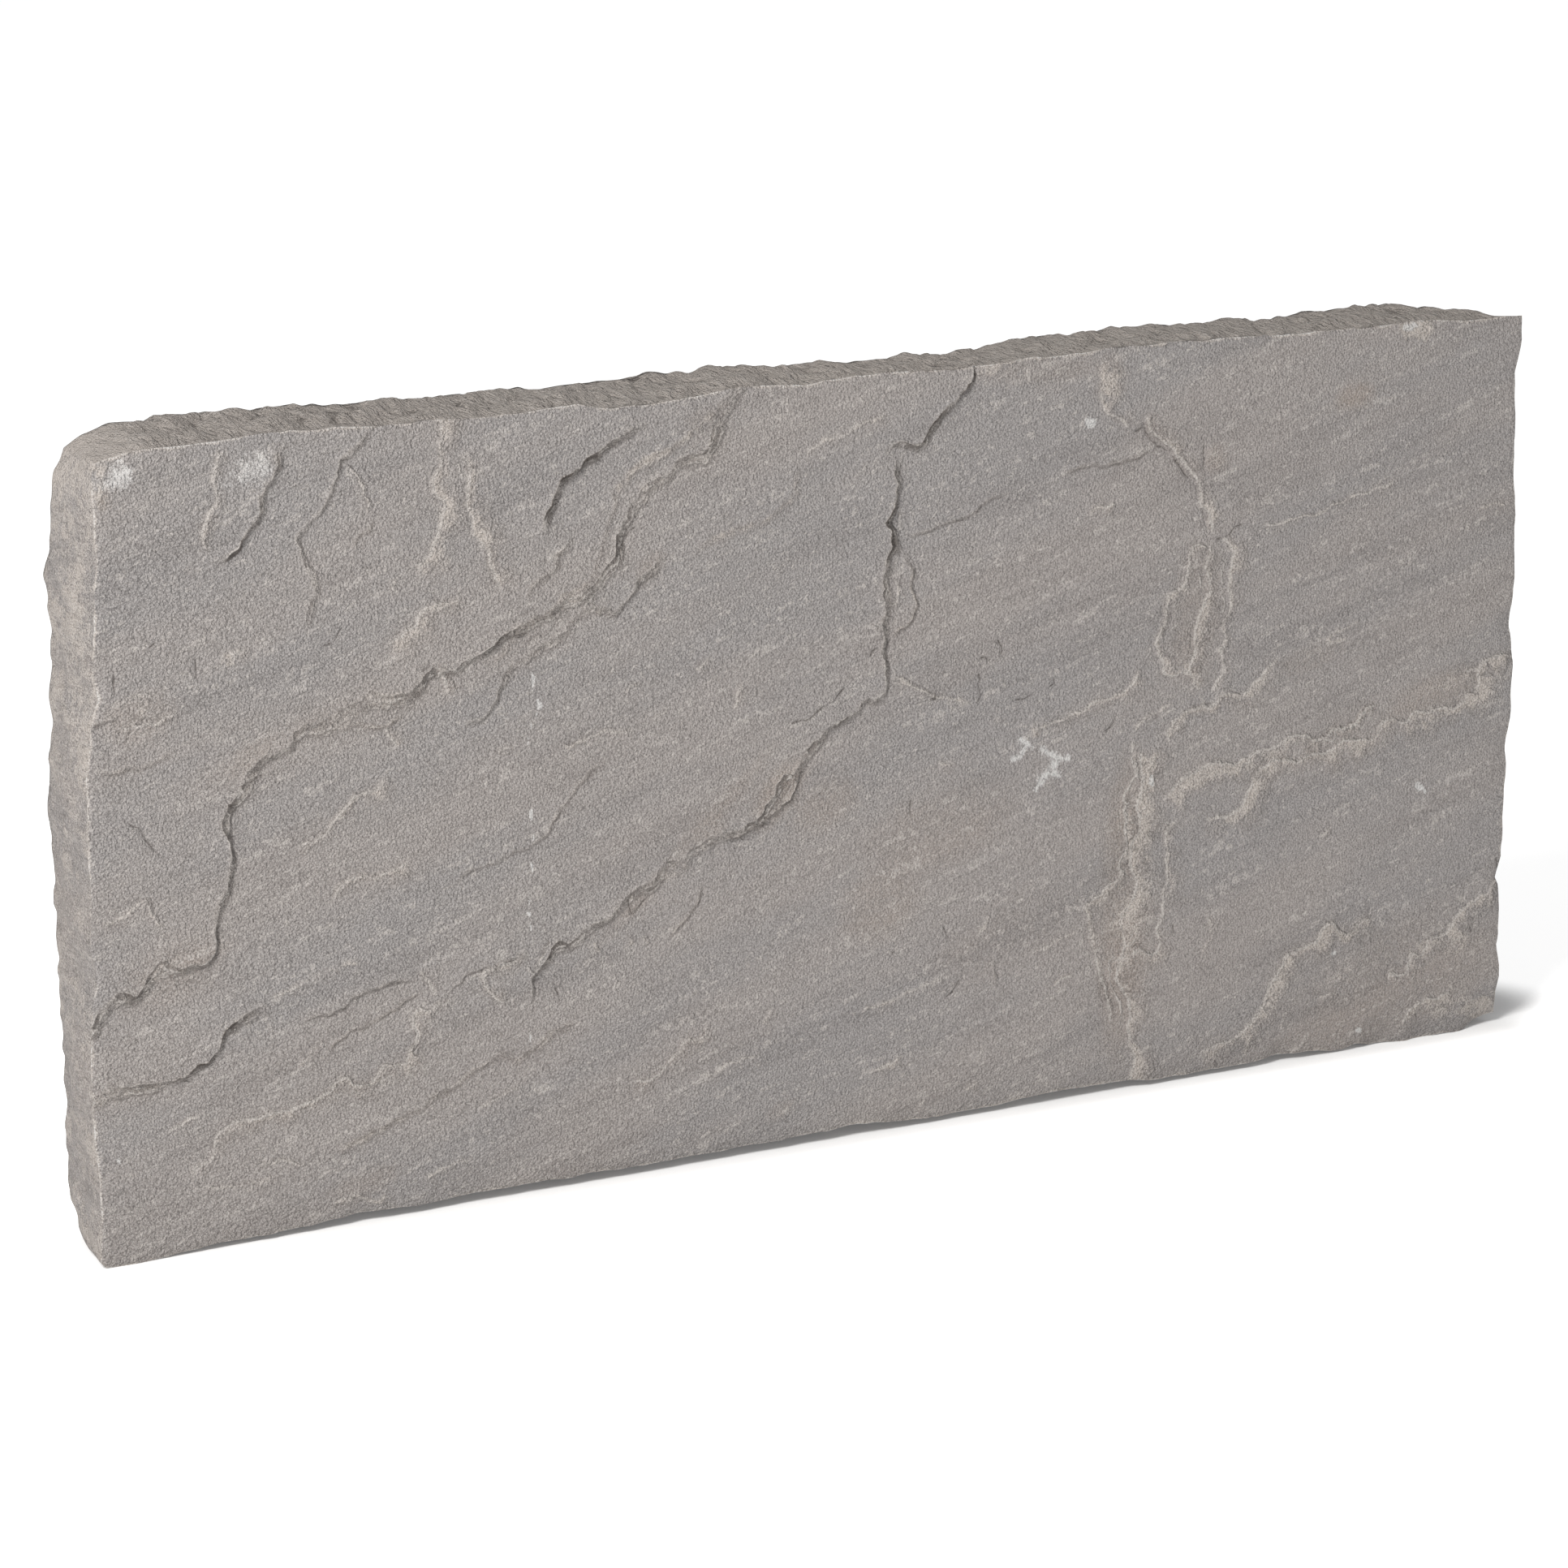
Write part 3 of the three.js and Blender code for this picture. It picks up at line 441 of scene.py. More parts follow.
SCARP_MARGIN = 0.3  # broken stone above the top step and below the lowest
LIP_HALF_WIDTH = 0.38  # half the width of a sheer step
LIP_REACH = 3  # how far from a lip its marks fade
LOWER_PAINTED_SHADOW = 0.6  # how dark the painted shadow under the lower sheets of a scarp is beside the top one

# How the qualities of a ledge vary along its walk: wavelength, swing, and number added to its seed.
ALONG_LEDGE = {
    "ends": (16, 0.3, 9), "crispness": (13, 0.35, 8), "spread": (11, 0.3, 7), "middle": (9, 1.0, 6),
    "slope": (6, 0.9, 5), "fray": (2.4, 0.35, 1), "share": (10, 0.75, 2),
}
JOG_LENGTH = 6.5  # wavelength of the sudden turns of a ledge
JOG_SHARPNESS = 2.5
SHARED_JOGS = 2.6  # how much further all sheets jog together than each by itself

# First seeds of the noise of each group of ledges and of each face.
SHADED_SEED = 1000
LIT_SEED = 4000
FLAKE_SEED = 7000
BACK_LEDGE_SEED = 10000
LEDGE_SEEDS = 50  # seeds kept for each ledge
FRONT_RELIEF_SEED = 11
BACK_RELIEF_SEED = 21
FRONT_GRID_SEED = 41
BACK_GRID_SEED = 43

BEDDING_TILT = 17  # degrees by which the bedding streaks rise along the length

# Small flakes whose upper edge catches the light, walked so that the higher side is on the left.
LIGHT_FLAKES = (
    [(-87.3, 72.2), (-89.3, 76.6)],
    [(-76.3, 74.6), (-78.2, 76.6)],
    [(-70.5, 73.4), (-73, 76.6)],
    [(-115.8, 140.7), (-121.8, 138.8)],
    [(-72.8, 154.6), (-77.2, 154), (-78.4, 150.6)],
    [(-50.6, 159.5), (-54.8, 155.5)],
    [(-36.6, 149.8), (-38.8, 149), (-41.1, 140.8)],
    [(-64.5, 145.6), (-68.6, 143.3)],
    [(-28.7, 47), (-32.5, 41.8)],
    [(-33.2, 34.8), (-34.6, 32.3), (-46.9, 29.9), (-56.2, 29.1)],
    [(35.9, 49.2), (27.9, 47.3), (16.4, 43.3), (1.8, 40.7)],
    [(18.8, 23.5), (4.8, 20.3)],
    [(50.1, 66.5), (45.2, 59.2)],
    [(54.5, 41.2), (52.5, 46), (50.9, 51.7)],
    [(37.1, 116.9), (31.1, 115.7)],
    [(87.9, 56.5), (71.9, 52.4), (62.9, 50.1)],
    [(81.8, 41.4), (73.8, 39.7)],
    [(26.7, 8.8), (22.7, 3.3)],
    [(46.7, 11.2), (40.7, 9.9)],
    [(181.5, 76.8), (176.4, 74.8)],
    [(131.9, 56.9), (134.4, 45.9), (128.8, 39.9)],
    [(191.2, 140.7), (190.7, 145.3), (184.9, 143.7), (176.7, 140.1), (180, 138.6), (188.2, 139.1)],
    [(149.7, 12.6), (148.4, 3.9)],
    [(186.2, 18.4), (182.8, 21.3), (178, 20.2), (177.2, 17.8)],
    [(165.8, 18.1), (161.6, 16.8), (161.7, 9.5)],
    [(173, 10.3), (166.4, 2.1)],
    [(53.6, 129.8), (51.1, 127.2)],
    [(-229, 98.1), (-233, 106.1), (-233.9, 109.1), (-239, 107.1), (-244, 104.2), (-250, 102.2)],
    [(-159.3, 9.9), (-163.3, 6.9), (-169.3, 9.9), (-176.3, 8.9), (-180.3, 5.9)],
    [(-194.2, 20), (-204.2, 18.5), (-221.2, 20.1)],
    [(-165, 81.5), (-178, 79.5), (-190, 77), (-198, 74.5)],
    [(-199, 70), (-198, 65), (-195, 64)],
    [(-179, 59), (-183, 57.5), (-185, 53.5), (-189.5, 51)],
    [(-149.5, 76.5), (-145.5, 71), (-142.5, 66)],
    [(-219, 42.5), (-225, 40), (-231, 38)],
    [(-185, 22), (-195, 24.5), (-205, 24)],
    [(-128, 15), (-140, 14.5), (-149, 10.5)],
    [(-115, 36), (-122, 33.5), (-131, 29.5)],
    [(14, 229), (5, 226), (-8, 222), (-15, 220), (-17, 215)],
    [(-74, 139.5), (-85, 141.5), (-97, 138.5), (-102, 139)],
    [(15, 178), (17.5, 172), (16, 166)],
    [(44, 134), (38, 137), (30, 138.5), (22, 142), (14, 147)],
    [(119, 127), (110, 124), (103, 118)],
    [(97, 193), (88, 192), (84.5, 190)],
    [(-152, 195), (-155, 193), (-153, 190)],
    [(-161, 213), (-161.5, 219), (-164, 225), (-169, 230)],
    [(-229, 168), (-236, 169), (-243, 165)],
    [(-222, 163), (-230, 160), (-238, 161)],
    [(-200, 179), (-207, 178.5), (-205, 173)],
    [(-229, 101), (-231.5, 95), (-231, 89), (-234, 85)],
    [(205, 190), (190, 187), (172, 182), (150, 179)],
    [(250, 176), (243, 179), (236, 178)],
)

# White mineral: each mark is (x, z, half length up, half width).
WHITE_MARKS = (
    (-109, 158.7, 3.4, 0.9), (-107.6, 152.4, 1.4, 0.8), (-107.3, 150.5, 1.5, 1.5),
    (-108.4, 148.1, 1.2, 0.8), (-110.2, 145.1, 1.6, 0.5), (-111.4, 141, 1.8, 0.5),
    (-110.3, 118.1, 2.4, 0.7), (-110.1, 111.2, 1.2, 0.6), (-111.2, 102.3, 1.8, 0.8), (-112, 92.4, 1.6, 0.6),
    (-112.2, 88.3, 1.3, 1.0), (-111.8, 83.4, 1.7, 0.5), (-112.2, 48.7, 2.2, 0.5), (85.4, 219.1, 2.8, 2.6),
    (208, 239.2, 1.6, 5), (110, 101.5, 2.4, 1.3), (-245.7, 32.2, 1.2, 1.0), (216.5, 85.4, 1.3, 1.8),
    (183, 34.4, 1.4, 1.6), (193.7, 6.1, 1.3, 1.9),
)
# White mineral in threads: half width and the line of each.
WHITE_VEINS = (
    (0.7, [(60.3, 120.5), (62, 119.8), (64.8, 118.6)]),
    (0.7, [(68.5, 118), (72, 115), (76, 113), (79.6, 112)]),
    (0.3, [(74.5, 114), (74.6, 111.5), (73.2, 108.4), (76.5, 106.5)]),
    (0.5, [(73.2, 108.8), (69.2, 107.6), (68.2, 105.5), (66.5, 104)]),
    (0.2, [(61.8, 117), (62.4, 115.4), (59, 114)]),
    (0.5, [(214, 87.5), (217, 85.5), (219.5, 83.5)]),
)

# The three tables below hold (x, z, half length, half width, tilt in degrees, strength).
# Brown and pink stains.
STAINS = (
    (-52.5, 230, 8, 7, 40, 0.3), (-69.7, 188.1, 8, 5, 40, 0.5), (-25.9, 113.4, 15, 8, 48, 0.9),
    (-8.9, 108.4, 15, 9, 20, 0.6), (100.9, 60, 60, 11, 88, 0.8), (127.2, 153.9, 26, 13, 80, 0.6),
    (171.1, 134.8, 18, 6, 14, 0.5), (186.4, 218.7, 9, 5, 10, 0.95), (226.1, 116.6, 28, 9, 12, 0.6),
    (205.8, 21.7, 55, 24, 14, 0.55), (66.5, 237.1, 28, 5, 0, 0.5), (10.9, 74.3, 18, 14, 17, 0.5),
    (-25.3, 13.4, 7, 3, 17, 0.5), (31, 95.3, 34, 16, 17, 0.45), (60.9, 60.2, 40, 14, 17, 0.3),
    (-229, 86.1, 22, 12, 20, 0.35), (-193.8, 151, 30, 7, 25, 0.2), (-167.3, 12.9, 14, 5, 10, 0.4),
    (-246, 235.5, 1.6, 1.3, 0, 1.6), (-243.5, 225.5, 3, 2, 40, 1.2), (-235, 162, 14, 9, 10, 0.5),
    (-200, 148, 12, 5, 35, 0.45), (-225, 88, 20, 4, 15, 0.7), (93, 232, 7, 10, 0, 0.6),
    (66.8, 122, 1.8, 1.6, 0, 1.2), (103, 60, 14, 14, 0, 0.6), (133, 203, 5, 6, 0, 0.6),
    (-60, 100, 50, 3.5, 42, 0.5), (-50, 105, 6, 8, 40, 0.5),
)
# Thin bloom of white mineral.
BLOOMS = (
    (-197.5, 231, 8.5, 6.5, 15, 0.78), (-206, 228, 5, 3.5, 30, 0.6), (-239, 232, 7.5, 5.5, 35, 0.78),
)
# Pale bruised stone.
BRUISES = (
    (210, 238.8, 9, 3.6, 0, 1.3), (241.7, 7.1, 11, 6, 0, 0.7), (-243.5, 232.2, 3, 8, 0, 0.5),
    (-87.5, 241.1, 6, 1.6, 0, 0.9), (-58.5, 240, 3, 1.4, 0, 0.8), (55.5, 241, 5, 1.5, 0, 1.0),
    (68.5, 240.9, 8, 1.2, 0, 0.7), (108.5, 241.7, 9, 1.3, 0, 0.7), (-137.6, 212.8, 30, 5, 92, 0.35),
    (-125.6, 208.8, 26, 3, 100, 0.3), (-196.5, 231.5, 8, 5.5, 20, 0.5), (-244, 228, 4, 1.6, 60, 0.7),
    (-199.5, 231, 7, 5, 25, 0.55), (92.5, 231, 5.5, 10, 10, 0.62), (103, 57, 9, 10, 0, 0.55),
    (109, 92, 3.4, 22, 0, 0.6), (133, 203, 4.5, 6, 0, 0.5), (-63, 92.5, 4, 2.5, 20, 0.6),
    (-232, 164, 9, 4, 10, 0.45), (-208, 176, 3.4, 3.4, 0, 0.5), (131.5, 188, 2.4, 8, 15, 0.6),
    (225, 119, 16, 4, 12, 0.45), (185, 25, 10, 5, 20, 0.4), (225, 30, 25, 6, 10, 0.4),
    (230, 10, 16, 6, 10, 0.45), (48, 238, 8, 3, 15, 0.5),
)
CLIPPED_MARKS = ("step", "crevice", "stain", "dark", "rough", "pale", "white")

# --- Repeatable noise -----------------------------------------------------------------------------

HASH_I = np.uint32(374761393)
HASH_J = np.uint32(668265263)
HASH_MIX = np.uint32(1274126177)
HASH_SEED = 974634777
HASH_RANGE = 2**32


def fade(t):
    return t * t * (3 - 2 * t)


def ramp(value, low, high):
    """0 below low, 1 above high, smooth between."""
    return fade(np.clip((value - low) / (high - low), 0, 1))


def lattice_value(i, j, seed):
    """A scattered value from -1 to 1 for every lattice point."""
    h = i.astype(np.uint32) * HASH_I + j.astype(np.uint32) * HASH_J
    h = h + np.uint32(seed * HASH_SEED % HASH_RANGE)
    h = (h ^ (h >> np.uint32(13))) * HASH_MIX
    h = h ^ (h >> np.uint32(16))
    return h.astype(float) / (HASH_RANGE / 2) - 1


def noise(u, v, seed):
    """Smooth noise from -1 to 1 over a lattice of unit cells."""
    i = np.floor(u)
    j = np.floor(v)
    a = fade(u - i)
    b = fade(v - j)
    i = i.astype(np.int64)
    j = j.astype(np.int64)
    low = lattice_value(i, j, seed) * (1 - a) + lattice_value(i + 1, j, seed) * a
    high = lattice_value(i, j + 1, seed) * (1 - a) + lattice_value(i + 1, j + 1, seed) * a
    return low * (1 - b) + high * b


def turned(x, z, degrees):
    """Coordinates along and across a direction that rises by so many degrees."""
    c, s = math.cos(math.radians(degrees)), math.sin(math.radians(degrees))
    return x * c + z * s, z * c - x * s


def raggedness(points):
    shift = np.zeros_like(points)
    for wavelength, amount, seed in RAGGEDNESS:
        u, v = points[:, 0] / wavelength, points[:, 1] / wavelength
        shift[:, 0] += amount * noise(u, v, seed)
        shift[:, 1] += amount * noise(u, v, seed + 1)
    return shift


def onto_ragged(points):
    """Where the points of a straight line lie once it runs ragged."""
    moved = points.copy()
    for _ in range(RAGGED_ROUNDS):
        moved = points - raggedness(moved)
    return moved


# --- Lines in the plane of a face -----------------------------------------------------------------


def line_lengths(line):
    """Distance walked to each point of a line."""
    steps = np.hypot(*np.diff(line, axis=0).T)
    return np.concatenate([[0], np.cumsum(steps)])


def line_length(line):
    return line_lengths(np.asarray(line, float))[-1]


def points_along(line, distances):
    """Points and directions at the given distances along a line."""
    line = np.asarray(line, float)
    walked = line_lengths(line)
    k = np.clip(np.searchsorted(walked, distances, side="right") - 1, 0, len(line) - 2)
    step = walked[k + 1] - walked[k]
    direction = (line[k + 1] - line[k]) / step[:, None]
    return line[k] + direction * (distances - walked[k])[:, None], direction


def leftward(direction):
    return np.stack([-direction[:, 1], direction[:, 0]], 1)


def nearest_on_line(points, line):
    """Signed distance to a line, positive on the left hand of the walk, and the distance walked."""
    line = np.asarray(line, float)
    walked = line_lengths(line)
    direction = np.diff(line, axis=0) / np.diff(walked)[:, None]
    left = leftward(direction)
    corner = np.vstack([left[:1], left[:-1] + left[1:], left[-1:]])
    best = np.full(len(points), np.inf)
    signed = np.zeros(len(points))
    along = np.zeros(len(points))
    for k in range(len(line) - 1):
        step = walked[k + 1] - walked[k]
        offset = points - line[k]
        raw = offset @ direction[k]
        t = np.clip(raw, 0, step)
        distance = np.hypot(*(offset - t[:, None] * direction[k]).T)
        side = offset @ left[k]
        side = np.where(raw < 0, offset @ corner[k], side)
        side = np.where(raw > step, (points - line[k + 1]) @ corner[k + 1], side)
        closer = distance < best
        best[closer] = distance[closer]
        signed[closer] = (distance * np.where(side < 0, -1, 1))[closer]
        along[closer] = walked[k] + t[closer]
    return signed, along, walked[-1]


def near_line(points, line, margin):
    """Numbers of the points in the box round a line, widened by a margin."""
    line = np.asarray(line, float)
    low, high = line.min(0) - margin, line.max(0) + margin
    return np.flatnonzero(((points > low) & (points < high)).all(1))


# --- Relief and marks of the faces ----------------------------------------------------------------


def empty_marks(count):
    """Relief and paint of so many points; edge is the signed distance to the nearest ledge."""
    names = ("rise", "layer", "step", "crevice", "stain", "dark", "rough", "pale", "white", "rim")
    marks = {name: np.zeros(count) for name in names}
    marks["edge"] = np.full(count, FAR_FROM_LEDGE)
    return marks


def strengthen(marks, name, values, where=slice(None)):
    """Raises a mark to the given values wherever they are the stronger."""
    marks[name][where] = np.maximum(marks[name][where], values)


def ellipse_mask(points, x, z, half_length, half_width, tilt):
    u, v = turned(points[:, 0] - x, points[:, 1] - z, tilt)
    return np.clip(1.3 - 1.3 * ((u / half_length) ** 2 + (v / half_width) ** 2), 0, 1)


def crispness_along(crispness, along, length, seed):
    """How crisp a ledge is along its walk: 1 is one sheer lip, 0 a wide frayed slope."""
    crisp = np.interp(along / length, np.linspace(0, 1, len(crispness)), crispness)
    return crisp * (0.8 + varied("crispness", along, seed))


def ledge_steps(scarp, kind, along, crisp, seed):
    """The thin sheets that end down one scarp: place and share of the drop of each, along the ledge."""
    count = min(kind["sheets"], 1 + sum(scarp > limit for limit in SHEET_LIMITS))
    spread = scarp * np.clip(1.1 - 1.05 * crisp + varied("spread", along, seed), 0.06, 1.3)
    middle = 0.5 * (kind["lead"] - 1) * scarp + 0.2 * min(scarp, WIDE_SCARP) * varied("middle", along, seed)
    swing = 0.1 * min(spread.max(), WIDE_SCARP)
    shared_jogs = SHARED_JOGS * swing * jogs(along, seed)
    places, shares = [], []
    for k in range(count):
        down = k / (count - 1) if count > 1 else 0.5
        own_seed = seed + 11 * k
        fray = shared_jogs + swing * jogs(along, own_seed) + varied("fray", along, own_seed)
        places.append(middle + spread * (0.5 - down) + fray)
        shares.append(1.2 - 0.4 * down + varied("share", along, own_seed))
    total = sum(shares)
    return places, [share / total for share in shares]


def varied(quality, along, seed):
    """How far a quality of a ledge swings to either side along the walk."""
    wavelength, swing, number = ALONG_LEDGE[quality]
    return swing * noise(along / wavelength, np.zeros_like(along), seed + number)


def jogs(along, seed):
    """Sudden turns from one side of the line to the other, from -1 to 1."""
    return np.tanh(JOG_SHARPNESS * noise(along / JOG_LENGTH, np.zeros_like(along), seed))


class Scarp:
    """One ledge with the points near it: where they lie across it, and how the ledge is there."""

    def __init__(self, points, ragged, ledge, kind, crispness, seed):
        self.drop, width, self.reach, line = ledge
        self.kind = kind
        self.near = near_line(points, line, self.reach * 5)
        self.signed, along, length = nearest_on_line(ragged[self.near], line)
        self.ends = ramp(np.minimum(along, length - along), 0, min(kind["fade"], length / 5))
        self.ends *= 1 + varied("ends", along, seed)
        self.crisp = crispness_along(crispness, along, length, seed)
        self.places, self.shares = ledge_steps(width, kind, along, self.crisp, seed)
        self.slope = kind["lead"] * width * np.clip(1 + varied("slope", along, seed), 0.25, 2)
        self.upper = np.maximum(self.places[0], self.places[-1]) + SCARP_MARGIN + self.slope
        self.lower = np.minimum(self.places[0], self.places[-1]) - SCARP_MARGIN
        self.from_middle = self.signed - 0.5 * (self.upper + self.lower)
        half_width = 0.5 * (self.upper - self.lower)
        self.crumble = np.clip(1.5 - np.abs(self.from_middle) / (half_width + 0.4), 0, 1)

    def profile(self):
        """Height across the scarp, from -0.5 at its foot to 0.5 at its lip."""
        sheer = self.kind["sheer"] * (0.7 + 0.3 * self.crisp)
        height = (1 - sheer) * (np.clip((self.signed - self.lower) / (self.upper - self.lower), 0, 1) - 0.5)
        for place, share in zip(self.places, self.shares):
            height += sheer * share * (ramp(self.signed - place, -LIP_HALF_WIDTH, LIP_HALF_WIDTH) - 0.5)
        return height

    def raise_stone(self, marks, points):
        """Lifts the upper layer over the lower one, with crumbs of stone between them."""
        away = np.exp(-np.abs(self.from_middle) / self.reach)
        marks["rise"][self.near] += self.ends * self.drop * self.profile() * away
        size = self.ends * (0.42 - 0.28 * self.crisp) * math.sqrt(self.drop)
        marks["rise"][self.near] += size * self.crumble * loose_crumbs(points[self.near])

    def mark_lips(self, marks):
        """Marks each sheer step wherever it is the nearest of them all."""
        for k, (place, share) in enumerate(zip(self.places, self.shares)):
            strength = self.ends * self.crisp * min(1.3, 1.5 * self.drop * share.mean() ** 0.5)
            # The crevice mark is a painted shadow under each sheer step, weaker under the lower sheets.
            painted_shadow = self.kind["crevice"] * (1.0 if k == 0 else LOWER_PAINTED_SHADOW) * strength
            from_step = self.signed - place
            close = np.exp(-((from_step / LIP_REACH) ** 2))
            closer = np.flatnonzero(np.abs(from_step) < np.abs(marks["edge"][self.near]))
            here = self.near[closer]
            marks["edge"][here] = from_step[closer]
            marks["step"][here] = (close * (self.kind["lip"] * strength))[closer]
            marks["crevice"][here] = (close * painted_shadow)[closer]

    def paint(self, marks):
        """Stains and roughens the crumbled slope, and paints it and the crest above it pale: bruised stone,
        with a painted highlight where they face the light.
        """
        marks["stain"][self.near] += self.ends * self.kind["tint"] * self.crumble
        marks["rough"][self.near] += self.ends * self.crumble * min(1, 0.35 + 0.35 * self.drop)
        outer = np.clip((self.signed - self.lower) / 0.7, 0, 1)
        inner = np.clip((self.upper - self.signed) / (0.7 + 0.5 * self.slope), 0, 1)
        crest = self.kind["crest"] * np.exp(-(((self.signed - self.places[0] - 0.3) / 0.6) ** 2))
        bruise_and_highlight = self.ends * np.maximum(self.kind["pale"] * (outer * inner), crest)
        strengthen(marks, "pale", bruise_and_highlight, self.near)


def loose_crumbs(points):
    """Crumbs of stone, a little longer than they are high."""
    x, z = points.T
    return noise(x / 2.3, z / 1.6, 71) + 0.7 * noise(x / 1.2, z / 0.9, 73)


def add_crack(marks, points, ragged, line):
    near = near_line(points, line, 6)
    signed, along, length = nearest_on_line(ragged[near], line)
    ends = ramp(np.minimum(along, length - along), -0.4, 1.2)
    uneven = np.clip(0.75 + 0.6 * noise(along / 5, np.zeros_like(along), CRACK_SEED), 0.3, 1)
    groove = ends * uneven * np.exp(-((signed / CRACK_WIDTH) ** 2))
    marks["rise"][near] -= CRACK_DEPTH * groove
    # The dark in the groove is painted shade in the crack.
    strengthen(marks, "dark", groove, near)


def add_vein(marks, ragged, half_width, line):
    near = near_line(ragged, line, 4)
    signed, along, length = nearest_on_line(ragged[near], line)
    ends = ramp(np.minimum(along, length - along), -0.8, 0.8)
    vein = ends * np.clip(1.3 - np.abs(signed) / (half_width + 0.5), 0, 1)
    strengthen(marks, "white", vein, near)


def add_patches(marks, points, ragged):
    """Stains with smooth outlines, then bruises, blooms, veins and mineral with ragged ones."""
    for names, patches, place in (
        (("stain",), STAINS, points),
        (("pale", "rough"), BRUISES, ragged),
        (("white",), BLOOMS, ragged),
    ):
        for *ellipse, strength in patches:
            for name in names:
                strengthen(marks, name, strength * ellipse_mask(place, *ellipse))
    for half_width, line in WHITE_VEINS:
        add_vein(marks, ragged, half_width, line)
    for x, z, half_height, half_width in WHITE_MARKS:
        strengthen(marks, "white", ellipse_mask(ragged, x, z, half_width, half_height, 0))


def spall_depth(spalls, points):
    depth = np.zeros(len(points))
    for x, z, radius, deep in spalls:
        ratio = np.hypot(points[:, 0] - x, points[:, 1] - z) / radius
        depth = np.maximum(depth, deep * (1 - ratio**2))
    return depth


def add_broad_relief(marks, points, seed):
    """The slow swell of a whole face and the ripple of its bedding."""
    x, z = points.T
    broad = 0.6 * noise(x / 120, z / 85, seed) + 0.3 * noise(x / 42, z / 30, seed + 1)
    along, across = turned(x, z, BEDDING_TILT)
    ripple = 0.16 * noise(along / 48, across / 9, seed + 2)
    ripple += 0.07 * noise(along / 22, across / 4.5, seed + 3)
    marks["rise"] += broad + ripple


def front_ledges():
    """Every ledge of the front with its kind, its crispness and its own seed."""
    found = []
    for k, (name, ledge) in enumerate(SHADED_LEDGES.items()):
        found.append((ledge, SHADED, CRISPNESS.get(name, PLAIN_CRISPNESS), SHADED_SEED + LEDGE_SEEDS * k))
    for k, ledge in enumerate(LIT_LEDGES.values()):
        found.append((ledge, LIT, PLAIN_CRISPNESS, LIT_SEED + LEDGE_SEEDS * k))
    for k, line in enumerate(LIGHT_FLAKES):
        found.append(((*FLAKE_SIZE, line), FLAKE, PLAIN_CRISPNESS, FLAKE_SEED + LEDGE_SEEDS * k))
    return found


def back_ledges():
    ledges = enumerate(BACK_LEDGES.values())
    return [(ledge, SHADED, PLAIN_CRISPNESS, BACK_LEDGE_SEED + LEDGE_SEEDS * k) for k, ledge in ledges]


def face_marks(points, ledges, cracks, spalls, seed):
    marks = empty_marks(len(points))
    ragged = points + raggedness(points)
    for ledge in ledges:
        scarp = Scarp(points, ragged, *ledge)
        scarp.raise_stone(marks, points)
        scarp.mark_lips(marks)
        scarp.paint(marks)
    for line in cracks:
        add_crack(marks, points, ragged, line)
    add_broad_relief(marks, points, seed)
    marks["layer"] = marks["rise"].copy()
    marks["rise"] -= spall_depth(spalls, ragged)
    return marks


def front_marks(points):
    marks = face_marks(points, front_ledges(), CRACKS, FRONT_SPALLS, FRONT_RELIEF_SEED)
    add_patches(marks, points, points + raggedness(points))
    return marks


def back_marks(points):
    return face_marks(points, back_ledges(), (), BACK_SPALLS, BACK_RELIEF_SEED)


# --- Outlines and points --------------------------------------------------------------------------


def make_stations():
    """Matching points round both outlines, with the outward direction and place on each side."""
    found = {"front": [], "back": [], "out": [], "along": [], "from_corner": [], "side": []}
    for side, front_line in FRONT_SIDES.items():
        length = line_length(front_line)
        count = round(length / RIM_STEPS[side])
        share = np.arange(count) / count
        front, direction = points_along(front_line, share * length)
        back, _ = points_along(BACK_SIDES[side], share * line_length(BACK_SIDES[side]))
        found["front"].append(front)
        found["back"].append(back)
        found["out"].append(-leftward(direction))
        found["along"].append(share * length)
        found["from_corner"].append(np.minimum(share, 1 - share) * length)
        found["side"].append(np.full(count, side))
    stations = {name: np.concatenate(parts) for name, parts in found.items()}
    fray_outline(stations, "front", 0.3, 1.0)
    fray_outline(stations, "back", 7.3, 2.2)
    return stations


def fray_outline(stations, face, lane, depth):
    """Small nicks along the edges of one face."""
    nick = np.zeros(len(stations["along"]))
    for side, shape in SIDE_SHAPE.items():
        here = stations["side"] == side
        along = stations["along"][here]
        across = np.full(len(along), lane)
        for height, wavelength, number in NICKS:
            nick[here] += height * noise(along / wavelength, across, shape["seed"] + number)
    calm = ramp(stations["from_corner"], 0, EDGE_CALM)
    stations[face] = stations[face] + stations["out"] * (depth * calm * nick)[:, None]
    stations[face][:, 0] = np.clip(stations[face][:, 0], -HALF_LENGTH, HALF_LENGTH)
    stations[face][:, 1] = np.maximum(stations[face][:, 1], 0)


def is_inside(points, outline):
    inside = np.zeros(len(points), bool)
    x, z = points.T
    for (ax, az), (bx, bz) in zip(outline, np.roll(outline, 1, axis=0)):
        if az == bz:
            continue
        crosses = (az > z) != (bz > z)
        inside ^= crosses & (x < (bx - ax) * (z - az) / (bz - az) + ax)
    return inside


def rows_beside(line, distances, offsets):
    """Rows of points beside a ragged line, each one distance, or a list of them, off to its left."""
    centre, direction = points_along(line, distances)
    left = leftward(direction)
    return [onto_ragged(centre + left * np.reshape(offset, (-1, 1))) for offset in offsets]


